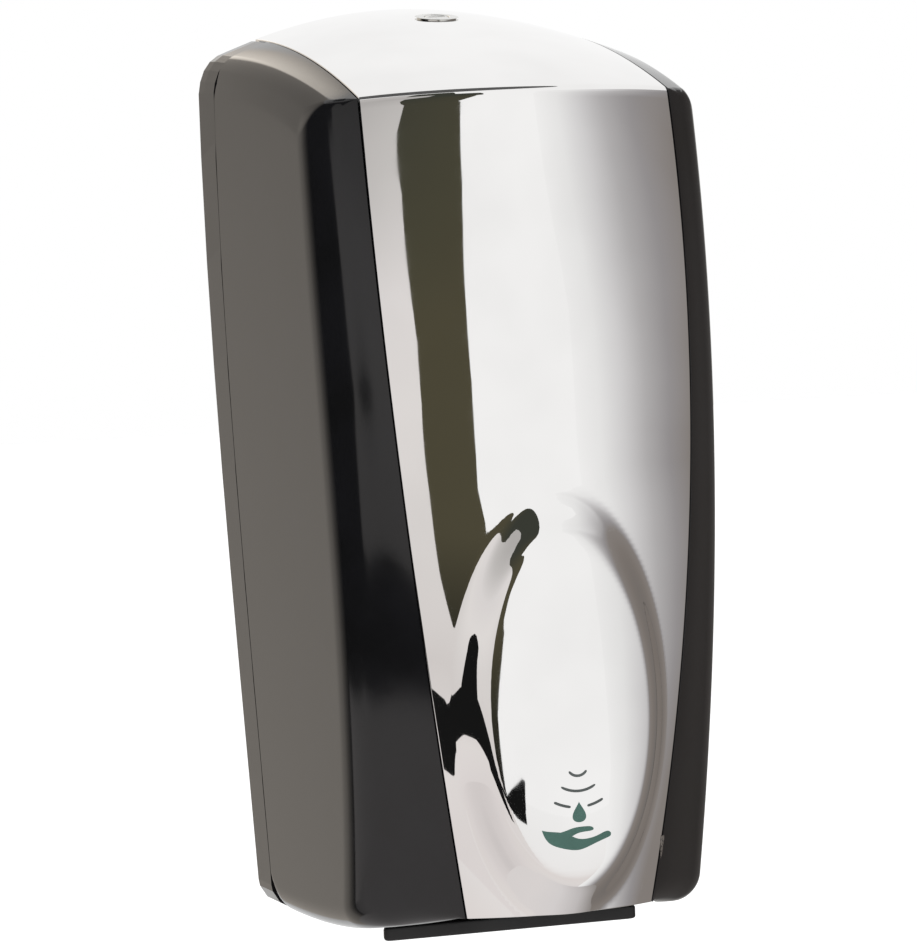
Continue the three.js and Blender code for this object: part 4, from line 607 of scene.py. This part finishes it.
FINISH = {}


# Sizes and colours that a user would change


def length(name, description, millimetres):
    """A length that a user can change."""
    return FloatProperty(name=name, description=description, default=millimetres * MM, unit="LENGTH")


class DispenserSizes(bpy.types.PropertyGroup):
    """Sizes of the finished surfaces."""

    shell_wall: length("Shell wall", "Thickness of the black shell", 2.8)
    panel_wall: length("Panel wall", "Thickness of the bright panel", 2.2)
    seam_gap: length("Seam gap", "Gap from panel to shell at the seam", 0.42)
    edge_round: length("Edge rounding", "Rounding of the open edges", 0.3)
    grid: IntProperty(name="Grid rows", description="Rows of the large surfaces", default=150, min=40, max=220)


class DispenserLight(bpy.types.PropertyGroup):
    """Light and floor of the studio."""

    floor: FloatVectorProperty(
        name="Floor", description="Colour of the floor", subtype="COLOR", default=linear("#f4f4f4")[:3]
    )
    key_power: FloatProperty(name="Key lamp", description="Power of the key lamp", default=16.0, unit="POWER")


class PieceOperator:
    """What the piece operators share."""

    bl_options = {"REGISTER", "UNDO"}

    def execute(self, context):
        self.build(context.scene.dispenser_sizes)
        return {"FINISHED"}


class DISPENSER_OT_materials(bpy.types.Operator):
    """Makes all materials and gives each carried-over node its own"""

    bl_idname = "dispenser.materials"
    bl_label = "Materials"

    def execute(self, context):
        FINISH.update(finishes())
        for finish, names in NODE_FINISH.items():
            for name in names:
                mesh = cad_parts[name].data
                mesh.materials.clear()
                mesh.materials.append(FINISH[finish])
        return {"FINISHED"}


class DISPENSER_OT_shell(PieceOperator, bpy.types.Operator):
    """Black outer shell: both sides, the ledge under the panel and the hinge lugs"""

    bl_idname = "dispenser.shell"
    bl_label = "Cover shell"

    def build(self, sizes):
        side = side_surface(110, sizes.grid * 2 // 3)
        right = closed_shell(side, offset(side, sizes.shell_wall / MM))
        ledge = offset(panel_surface(90, sizes.grid, LEDGE_REACH, False), PANEL_SEAT)
        within = np.abs(ledge[..., 0]) < seam_half(ledge[..., 2]) - WINDOW_FRAME
        window = within & (ledge[..., 2] > WINDOW_BOTTOM) & (ledge[..., 2] < WINDOW_TOP) & (ledge[..., 1] < -HALF_WIDTH)
        ahead = ledge[..., 1] < -COVER_REAR
        keep = (ahead & ~window)[:-1, :-1]
        carrier = closed_shell(ledge, offset(ledge, LEDGE_WALL), keep)
        bore, rim = LUG_RADII
        ring = filleted([(bore, 0), (rim, 0), (rim, LUG_LENGTH), (bore, LUG_LENGTH), (bore, 0)], 0.5)
        across = Matrix.Translation((LUG_START, -HINGE[0], HINGE[1])) @ Matrix.Rotation(math.pi / 2, 4, "Y")
        lug = moved(revolved(ring), across)
        parts = [right, mirrored(right), carrier, lug, mirrored(lug)]
        make(
            "cover_shell_skin", parts, FINISH["black_gloss"], "cover", ["cover_shell"],
            bevel=sizes.edge_round / MM,
        )


class DISPENSER_OT_panel(PieceOperator, bpy.types.Operator):
    """Bright front panel, folded back over the roof, with its raised nose"""

    bl_idname = "dispenser.panel"
    bl_label = "Front panel"

    def build(self, sizes):
        face = panel_surface(140, sizes.grid, -sizes.seam_gap / MM)
        parts = [closed_shell(face, offset(face, sizes.panel_wall / MM))]
        make(
            "front_panel_sheet", parts, FINISH["chrome"], "cover", ["front_panel"],
            bevel=sizes.edge_round / MM,
        )


def on_lock(part):
    """A part moved from the origin onto the lock's axis, square to the roof."""
    tilt = math.atan(ROOF_SLOPE + 2 * ROOF_CURVE * LOCK_DEPTH / DEPTH)
    place = Matrix.Translation((0, -LOCK_DEPTH, roof(0, LOCK_DEPTH))) @ Matrix.Rotation(tilt, 4, "X")
    return moved(part, place)


class DISPENSER_OT_lock(PieceOperator, bpy.types.Operator):
    """Lock housing and its turning plug with the key slot"""

    bl_idname = "dispenser.lock"
    bl_label = "Lock"

    def build(self, sizes):
        rim = [(3.8, 0.2), (4.1, 0.42), (6.3, 0.42), (6.75, 0.3), (6, 0.3), (6, LOCK_REACH), (3.8, LOCK_REACH)]
        housing = on_lock(revolved(filleted([rim[-1], *rim], 0.15)))
        make("lock_housing", [housing], FINISH["nickel"], "cover", ["lock_body"])
        top = np.stack([np.linspace(3.4, 0, 60), np.full(60, 0.3)], -1)
        points, faces = revolved([(0, LOCK_REACH), (PLUG_RADIUS, LOCK_REACH), (PLUG_RADIUS, 0.15), *top], 144)
        slot = (np.abs(points[:, 1]) < KEY_HALF[1]) & (np.abs(points[:, 0]) < KEY_HALF[0]) & (points[:, 2] > 0)
        points[slot, 2] = KEY_FLOOR
        make("lock_barrel", [on_lock((points, faces))], FINISH["nickel"], "lock", ["lock_plug"])


class DISPENSER_OT_foot(PieceOperator, bpy.types.Operator):
    """Round-edged foot bar under the cover, and the web that joins it to the deck"""

    bl_idname = "dispenser.foot"
    bl_label = "Foot bar"

    def build(self, sizes):
        bar = self.bar(BAR_HALF, BAR_HEIGHT, 60, BAR_TAPER)
        web = self.bar(WEB_HALF, WEB_HEIGHT, 80)
        make("foot_bar", [bar, web], FINISH["black_matt"], "base", ["base_foot"], angle=50.0)

    def bar(self, half, height, end_power, taper=0.0):
        """With s = (1 - |u|^m)^(1 / 2), y = b s |cos p|^(1 / 4) and z = c s |sin p|^(1 / 4), signs kept, and x = a u,
        less the taper at the rear."""
        u = np.sin(np.linspace(-np.pi / 2, np.pi / 2, 90))[:, None]
        p = np.linspace(0, 2 * np.pi, 73)[None]
        share = np.sqrt(np.clip(1 - np.abs(u) ** end_power, 0, 1))
        wide, tall = (np.sign(turn) * np.abs(turn) ** 0.25 for turn in (np.cos(p), np.sin(p)))
        across = (half[0] - taper * (1 + share * wide) / 2) * u
        return grid_faces(np.stack([across, half[1] * share * wide - FOOT_DEPTH, half[2] * share * tall + height], -1))


class DISPENSER_OT_spring(PieceOperator, bpy.types.Operator):
    """Return spring between the pump and its nozzle, built as one coil of fixed length; the real spring is pressed
    together as the nozzle rises
    """

    bl_idname = "dispenser.spring"
    bl_label = "Return spring"

    def build(self, sizes):
        foot, head = SPRING_HEIGHTS
        coil = self.coil(foot + SPRING_WIRE, head - SPRING_WIRE)
        spring = make(
            "return_spring_coil", [coil], FINISH["spring_steel"], "base", ["return_spring"], angle=60.0
        )
        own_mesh(spring)

    def coil(self, low, high, steps=200, sides=14):
        """A wire of radius w along x = r cos a, y = r sin a - d, a = 8 pi t, z rising from low to high: with the
        radial n and b = tangent x n, the points are path + w (n cos p + b sin p)."""
        t = np.concatenate([[0], np.linspace(0, 1, steps), [1]])[:, None, None]
        turn = 2 * np.pi * SPRING_TURNS * t
        radial = np.concatenate([np.cos(turn), np.sin(turn), 0 * turn], -1)
        sway = np.concatenate([-np.sin(turn), np.cos(turn), 0 * turn], -1) * 2 * np.pi * SPRING_TURNS * SPRING_RADIUS
        tangent = sway + (0, 0, high - low)
        tangent /= np.linalg.norm(tangent, axis=-1, keepdims=True)
        path = radial * SPRING_RADIUS + np.concatenate([0 * t, 0 * t - SPRING_DEPTH, low + (high - low) * t], -1)
        p = np.linspace(0, 2 * np.pi, sides + 1)[None, :, None]
        reach = np.full_like(t, SPRING_WIRE)
        reach[[0, -1]] = 0
        return grid_faces(path + reach * (radial * np.cos(p) + np.cross(tangent, radial) * np.sin(p)))


class DISPENSER_OT_sign(PieceOperator, bpy.types.Operator):
    """Plain hand, drop and sensing arcs printed on the nose, and the small indicator at the seam"""

    bl_idname = "dispenser.sign"
    bl_label = "Sign and indicator"

    def build(self, sizes):
        make("hand_and_drop", [self.palm(), self.fingers(), self.drop()], FINISH["sign_teal"], "cover")
        arcs = [self.arc(*values) for values in self.arcs]
        make("sensing_arcs", arcs, FINISH["sign_grey"], "cover")
        make("indicator", [self.indicator()], FINISH["indicator"], "cover", ["indicator_lens"])

    # Height of the centre, radius, and the angles from straight down at which the stroke starts and ends
    arcs = [(-81.6, 3.3, -56, 56), (-79.2, 10.1, -32, 32), (-77.8, 16.2, -28, -9), (-77.8, 16.2, 9, 28)]

    def curve(self, corners, steps=60):
        """A smooth line that starts and ends at the first and last of its corners: a cubic B-spline, ends repeated."""
        corners = np.array([corners[0]] * 2 + list(corners) + [corners[-1]] * 2)
        t = np.linspace(0, len(corners) - 3 - 1e-6, steps)
        i, f = np.floor(t).astype(int), (t % 1)[:, None]
        a, b, c, d = (corners[i + n] for n in range(4))
        middle = (3 * f**3 - 6 * f**2 + 4) * b + (-3 * f**3 + 3 * f**2 + 3 * f + 1) * c
        return ((1 - f) ** 3 * a + middle + f**3 * d) / 6

    def between(self, low, high, lift=0.02):
        """A printed patch between two lines of (x, z) points: even shares of the way from one to the other."""
        v = np.linspace(0, 1, 9)[:, None, None]
        place = low + v * (high - low)
        return on_front(place[..., 0], place[..., 1], lift, 0.1)

    def palm(self):
        """Open palm: from a pointed wrist, over the hollow of the hand, to the round tip of long fingers."""
        tip = (10.4, -102.2)
        low = [
            (-10.9, -100.0), (-10.2, -102.2), (-8.6, -104.4), (-5.0, -105.7), (-1.0, -106.6), (1.6, -106.3),
            (5.4, -104.8), (8.8, -103.7), (10.6, -103.2), tip,
        ]
        high = [
            (-10.9, -100.0), (-9.6, -100.4), (-7.4, -100.7), (-4.6, -101.0), (-1.8, -102.3), (0.6, -103.6),
            (5.2, -103.1), (7.6, -102.0), (9.6, -101.4), tip,
        ]
        return self.between(self.curve(low), self.curve(high))

    def fingers(self):
        """Thumb: a slim band that rises from the palm and lies over it."""
        tip = (4.9, -100.8)
        low = [(-5.4, -102.6), (-3.4, -102.8), (-2.0, -102.5), (-0.4, -101.5), (2.2, -101.2), (4.2, -101.2), tip]
        high = [(-5.4, -101), (-3.2, -100.5), (-1.6, -99.9), (0.6, -99.7), (2.6, -99.7), (4.3, -99.8), (4.9, -100.4)]
        return self.between(self.curve(low), self.curve(high), 0.03)

    def drop(self):
        """A drop: height cos a, half-width sin a times sin(a / 2)^1.6, from a = pi at the bottom to 0 at the tip."""
        angle = np.linspace(np.pi, 0, 40)
        half = 3.05 * np.sin(angle) * np.sin(angle / 2) ** 1.6
        height = -95.4 + 3.0 * np.cos(angle)
        return self.between(np.stack([SIGN_ACROSS - half, height], -1), np.stack([SIGN_ACROSS + half, height], -1))

    def arc(self, z, radius, first, last):
        """A stroke under a millimetre thick, open upwards, with round ends."""
        t = np.linspace(-1, 1, 50)
        angle = np.radians(first + (last - first) * (t + 1) / 2)
        half = STROKE_HALF * np.sqrt(np.clip(1 - t**10, 0, 1))
        place = lambda reach: np.stack([SIGN_ACROSS + reach * np.sin(angle), z - reach * np.cos(angle)], -1)
        return self.between(place(radius - half), place(radius + half))

    def indicator(self):
        """A small upright lens across the seam, crowned by a quarter of a millimetre."""
        u = np.linspace(-1, 1, 13)
        v = np.linspace(-1, 1, 25)[:, None]
        x = INDICATOR[0] + INDICATOR_HALF[0] * u * np.sqrt(1 - 0.12 * v**8)
        z = INDICATOR[1] + INDICATOR_HALF[1] * v * np.ones_like(x)
        inside = np.minimum(plain_front(x, z), 200)
        facet = seam_depth(z) - (x - seam_half(z)) * FACET_FALL
        depth = np.where(x < seam_half(z), inside, facet)
        crown = 0.12 + 0.13 * (1 - u**4) * (1 - v**8)
        outer = np.stack([x, -(depth + crown), z], -1)
        return closed_shell(outer, outer + (0, 1.8, 0))


# Studio

CARDS = [
    # Name, radius in metres, rows of height in metres with first and last azimuth in degrees, hex stops,
    # the way that they run (X across, Y up), and strength
    (
        "card_dark_strip", 0.690,
        [
            (-0.175, -6.0, -4.4), (-0.138, -5.8, -3.2), (-0.10, -5.8, -1.6), (-0.067, -6.6, 0.8),
            (-0.036, -6.7, 3.0), (-0.013, -6.8, 3.0), (0.005, -6.9, 2.0), (0.044, -7.7, 1.8), (0.084, -8.6, 0.9),
            (0.123, -10.2, -0.8), (0.161, -13.0, -3.1), (0.188, -15.5, -4.8), (0.213, -18.0, -7.4),
            (0.236, -20.4, -10.2), (0.250, -22.2, -11.5), (0.262, -24.0, -7.0), (0.277, -26.1, -2.5),
            (0.300, -29.2, -2.0), (0.345, -30.5, -1.5), (0.365, -27.0, -1.5), (0.40, -22.0, -1.5),
            (0.55, -20.0, -2.0), (0.6, -31.0, -12.0), (1.2, -31.0, -12.0),
        ],
        ["#1c1c1a", "#35332a", "#4f4b3b", "#4f4b3b", "#4f4b3b", "#4a483a", "#444338"] + ["#3c3e37"] * 12,
        "Y", 1.0,
    ),
    (
        "card_low_box", 0.691,
        [(-0.189, -12.0, 0.0), (-0.178, -12.0, 0.3), (-0.176, -4.6, 0.5), (-0.165, -2.5, 1.0), (-0.15, 1.0, 1.8)],
        ["#161616", "#161616"], "X", 1.0,
    ),
    (
        "card_black_left", 0.692,
        [
            (-0.252, -48, -15.1), (-0.246, -46, -12.0), (-0.236, -45, -10.5), (-0.222, -66, -10.0),
            (-0.212, -80, -10.0), (-0.20, -112, -10.0), (-0.178, -112, -10.5), (-0.165, -112, -13),
            (-0.152, -112, -24), (-0.138, -112, -42), (-0.12, -112, -54), (-0.103, -112, -67), (-0.05, -112, -67),
            (0.0, -112, -66), (0.034, -112, -63.5), (0.07, -112, -65.5), (0.25, -112, -66), (0.28, -112, -57.8),
            (0.9, -112, -57.8),
        ],
        ["#171717", "#171717"], "X", 1.0,
    ),
    (
        "card_pale_left", 0.693,
        [
            (-0.35, -112, -5.0), (0.161, -112, -5.0), (0.188, -112, -8.0), (0.213, -112, -12.0),
            (0.236, -112, -14.0), (0.6, -112, -14.0),
        ],
        [
            "#e6e0df", "#e8e3e1", "#dcd7d5", "#e2dedc", "#eae6e4", "#e6e2e1", "#cac7c5", "#b8b5b3", "#b8b5b3",
            "#c0bdbb",
        ],
        "Y", 1.0,
    ),
    ("card_pale_top", 0.693, [(0.6, -112, -14), (1.2, -112, -14)], ["#c0bdbb", "#c0bdbb"], "X", 1.0),
    # Low down: the pale floor in front
    (
        "card_low_left", 0.694, [(-0.9, -112, -40), (-0.30, -112, -40)],
        ["#a6a3a3", "#ddd7d6", "#e4dedd", "#e6e0de"], "X", 1.0,
    ),
    (
        "card_low_middle", 0.695, [(-0.9, -40, 28), (-0.17, -40, 28)],
        ["#e2dddc", "#e6e1df", "#e6e0de", "#fafafa"], "Y", 1.0,
    ),
    (
        "card_grey_fade", 0.696,
        [
            (-0.9, 28, 70), (-0.35, 27, 57), (-0.23, 28, 53), (-0.14, 28, 50), (-0.09, 26, 48),
            (0.025, 22, 46), (0.115, 23, 52), (0.2, 18, 64), (0.235, 18, 68), (0.28, 20, 88), (0.35, 20, 98),
            (0.45, 26, 115),
        ],
        ["#fafafa", "#f0f0f0", "#d9d8d9", "#b8b6b7", "#9b9899", "#8a8480"], "X", 1.0,
    ),
    (
        "card_grey_right", 0.697,
        [
            (-0.9, 70, 160), (-0.35, 57, 160), (-0.23, 53, 160), (-0.14, 50, 160), (-0.09, 48, 160), (0.025, 46, 155),
            (0.115, 52, 148), (0.2, 64, 142), (0.235, 68, 142), (0.28, 88, 140), (0.35, 98, 138),
        ],
        ["#8a8480", "#827b76", "#7a7470", "#6c6967", "#d8d6d3"], "X", 1.0,
    ),
    (
        "card_warm_rear_left", 0.7, [(-0.9, -176, -112), (0.9, -176, -112)],
        ["#dad2c8", "#dad2c8", "#dad2c8", "#181818"], "X", 1.0,
    ),
    (
        "card_lamp_rear", 0.698, [(0.36, 173, 184), (0.83, 173, 184)],
        ["#b0a89f", "#fff6ea", "#fff6ea", "#fff6ea", "#b0a89f"], "X", 2.3,
    ),
]

# The floor lies this far below the model, in metres, clear of the open cover
FLOOR_DROP = 0.14
# Name, height and radius in metres, hex stops from left to right
DISCS = [
    ("low_disc", -0.9, 0.705, ["#e2dddc", "#e2dddc", "#dcd8d8", "#c6c2c2", "#8e8986"]),
    ("ceiling", 1.3, 0.62, ["#5a5a5a", "#5a5a5a"]),
]


def card(name, radius, outline, colours, way, strength):
    """A piece of an upright cylinder round the object, seen only in reflections: x = R sin a, y = -R cos a.

    Its two edges are lines through the outline's rows; the colours are evenly spaced across it or up it."""
    rows = np.array(outline)
    height = np.linspace(rows[0, 0], rows[-1, 0], 60)[:, None]
    first = np.interp(height, rows[:, 0], rows[:, 1])
    last = np.interp(height, rows[:, 0], rows[:, 2])
    share = np.linspace(0, 1, 40)
    angle = np.radians(first + (last - first) * share)
    grid = np.stack(np.broadcast_arrays(radius * np.sin(angle), -radius * np.cos(angle), height), -1)
    points, faces = grid_faces(grid)
    mesh = bpy.data.meshes.new(name)
    mesh.from_pydata(points.tolist(), [], faces.tolist())
    shade = mesh.uv_layers.new(name="shares")
    corners = np.zeros(len(mesh.loops), np.int32)
    mesh.loops.foreach_get("vertex_index", corners)
    across, up = np.meshgrid(share, np.linspace(0, 1, len(height)))
    shade.data.foreach_set("uv", np.stack([across.ravel()[corners], up.ravel()[corners]], -1).ravel())
    tree, shader = glow(name, mesh, strength)
    uv = add(tree, "ShaderNodeSeparateXYZ", {"Vector": (add(tree, "ShaderNodeUVMap", uv_map="shares"), "UV")})
    feed(tree, shader, "Color", ramp(tree, (uv, way), even(colours)))
    obj = bpy.data.objects.new(name, mesh)
    bpy.context.scene.collection.objects.link(obj)
    mirrored_only(obj)


def glow(name, mesh, strength=1.0):
    """Gives a mesh a glowing material of its own; returns its tree and shader."""
    made = bpy.data.materials.new(name)
    made.use_nodes = True
    made.node_tree.nodes.clear()
    shader = add(made.node_tree, "ShaderNodeEmission", {"Strength": strength})
    add(made.node_tree, "ShaderNodeOutputMaterial", {"Surface": (shader, "Emission")})
    mesh.materials.append(made)
    return made.node_tree, shader


def mirrored_only(obj):
    """Studio object that only mirrors see."""
    obj.visible_camera = obj.visible_diffuse = obj.visible_shadow = obj.visible_transmission = False


def disc(name, height, radius, colours):
    """A level disc below or above the object: the low one is pale, the ceiling draws a thin line along the crease."""
    bpy.ops.mesh.primitive_circle_add(vertices=48, radius=radius, fill_type="NGON", location=(0, 0, height))
    obj = bpy.context.object
    obj.name = name
    tree, shader = glow(name, obj.data)
    place = add(tree, "ShaderNodeSeparateXYZ", {"Vector": (add(tree, "ShaderNodeTexCoord"), "Object")})
    feed(tree, shader, "Color", ramp(tree, spread(tree, (place, "X"), 0, 1, -radius, radius), even(colours)))
    mirrored_only(obj)


def lamp(name, place, target, size, power):
    """A square soft lamp that faces the target."""
    data = bpy.data.lights.new(name, "AREA")
    data.size, data.energy = size, power
    obj = bpy.data.objects.new(name, data)
    obj.location = place
    obj.rotation_euler = (Vector(target) - Vector(place)).to_track_quat("-Z", "Y").to_euler()
    bpy.context.scene.collection.objects.link(obj)
    return obj


class DISPENSER_OT_studio(bpy.types.Operator):
    """Pale floor, soft lamps, reflection cards and the camera"""

    bl_idname = "dispenser.studio"
    bl_label = "Studio"

    def execute(self, context):
        scene = context.scene
        scene.view_settings.view_transform = "Standard"
        self.world(scene)
        self.floor(scene.dispenser_light)
        for values in CARDS:
            card(*values)
        for values in DISCS:
            disc(*values)
        key = lamp("key_lamp", (-0.7, -1.1, 1.3), (0, -0.05, 0), 0.9, scene.dispenser_light.key_power)
        key.visible_glossy = False
        self.camera(scene)
        return {"FINISHED"}

    def world(self, scene):
        """White to the camera, a shade under it to mirrors, and a softer light on everything else."""
        world = bpy.data.worlds.new("studio")
        world.use_nodes = True
        scene.world = world
        tree = world.node_tree
        tree.nodes.clear()
        ray = add(tree, "ShaderNodeLightPath")
        seen = spread(tree, (ray, "Is Camera Ray"), 0.985, 1.0, 0.0, 1.0)
        strength = spread(tree, (ray, "Is Diffuse Ray"), 1.0, 0.62, 0.0, 1.0)
        tree.links.new(seen[0].outputs[seen[1]], strength[0].inputs["To Min"])
        sky = add(tree, "ShaderNodeBackground", {"Color": linear("#ffffff"), "Strength": strength})
        add(tree, "ShaderNodeOutputWorld", {"Surface": (sky, "Background")})

    def floor(self, light):
        """A wide flat floor, clear of the open cover, white to the camera where no shadow falls, and not mirrored."""
        low = CAD_BOX[0][2] - FLOOR_DROP
        edge = np.linspace(-4, 4, 9)
        x, y = np.meshgrid(edge, edge)
        points, faces = grid_faces(np.stack([x, y, np.full_like(x, low)], -1))
        mesh = bpy.data.meshes.new("floor")
        mesh.from_pydata(points.tolist(), [], faces.tolist())
        made, tree, shader, place = surface("pale_floor", {"Base Color": [*light.floor, 1.0], "Roughness": 0.6})
        ray = add(tree, "ShaderNodeLightPath")
        shader.inputs["Emission Color"].default_value = linear("#ffffff")
        feed(tree, shader, "Emission Strength", spread(tree, (ray, "Is Camera Ray"), 0.0, 0.5, 0.0, 1.0))
        mesh.materials.append(made)
        obj = bpy.data.objects.new("floor", mesh)
        bpy.context.scene.collection.objects.link(obj)
        obj.visible_glossy = False

    def camera(self, scene):
        """The photograph's view: from the front left, a little above, rolled by under two degrees."""
        azimuth, elevation, roll = (math.radians(v) for v in (-19.75, 4.52, -1.88))
        level = math.cos(elevation)
        back = Vector((math.sin(azimuth) * level, -math.cos(azimuth) * level, math.sin(elevation)))
        right = Vector((math.cos(azimuth), math.sin(azimuth), 0))
        up = back.cross(right)
        turned = right * math.cos(roll) + up * math.sin(roll)
        data = bpy.data.cameras.new("camera")
        data.sensor_width, data.lens = 36.0, 192.4  # millimetres
        obj = bpy.data.objects.new("camera", data)
        axes = Matrix((turned, back.cross(turned), back)).transposed().to_4x4()
        obj.matrix_world = Matrix.Translation((-0.52113, -1.49163, 0.118)) @ axes
        scene.collection.objects.link(obj)
        scene.camera = obj


class DISPENSER_PT_panel(bpy.types.Panel):
    """Sidebar panel"""

    bl_label = "Dispenser"
    bl_space_type = "VIEW_3D"
    bl_region_type = "UI"
    bl_category = "Dispenser"

    def draw(self, context):
        layout = self.layout
        for group in (context.scene.dispenser_sizes, context.scene.dispenser_light):
            for name in group.__annotations__:
                layout.prop(group, name)
        for operator in OPERATORS:
            layout.operator(operator.bl_idname)


OPERATORS = (
    DISPENSER_OT_materials,
    DISPENSER_OT_shell,
    DISPENSER_OT_panel,
    DISPENSER_OT_lock,
    DISPENSER_OT_foot,
    DISPENSER_OT_spring,
    DISPENSER_OT_sign,
    DISPENSER_OT_studio,
)
CLASSES = (DispenserSizes, DispenserLight, *OPERATORS, DISPENSER_PT_panel)


def register():
    """Registers the classes and hangs the two groups of values on the scene."""
    for item in CLASSES:
        bpy.utils.register_class(item)
    bpy.types.Scene.dispenser_sizes = PointerProperty(type=DispenserSizes)
    bpy.types.Scene.dispenser_light = PointerProperty(type=DispenserLight)


def unregister():
    """Takes the groups and classes away again."""
    del bpy.types.Scene.dispenser_light
    del bpy.types.Scene.dispenser_sizes
    for item in reversed(CLASSES):
        bpy.utils.unregister_class(item)


def main():
    """Builds everything in order."""
    register()
    for operator in OPERATORS:
        getattr(bpy.ops.dispenser, operator.bl_idname.partition(".")[2])()


if __name__ == "__main__":
    main()
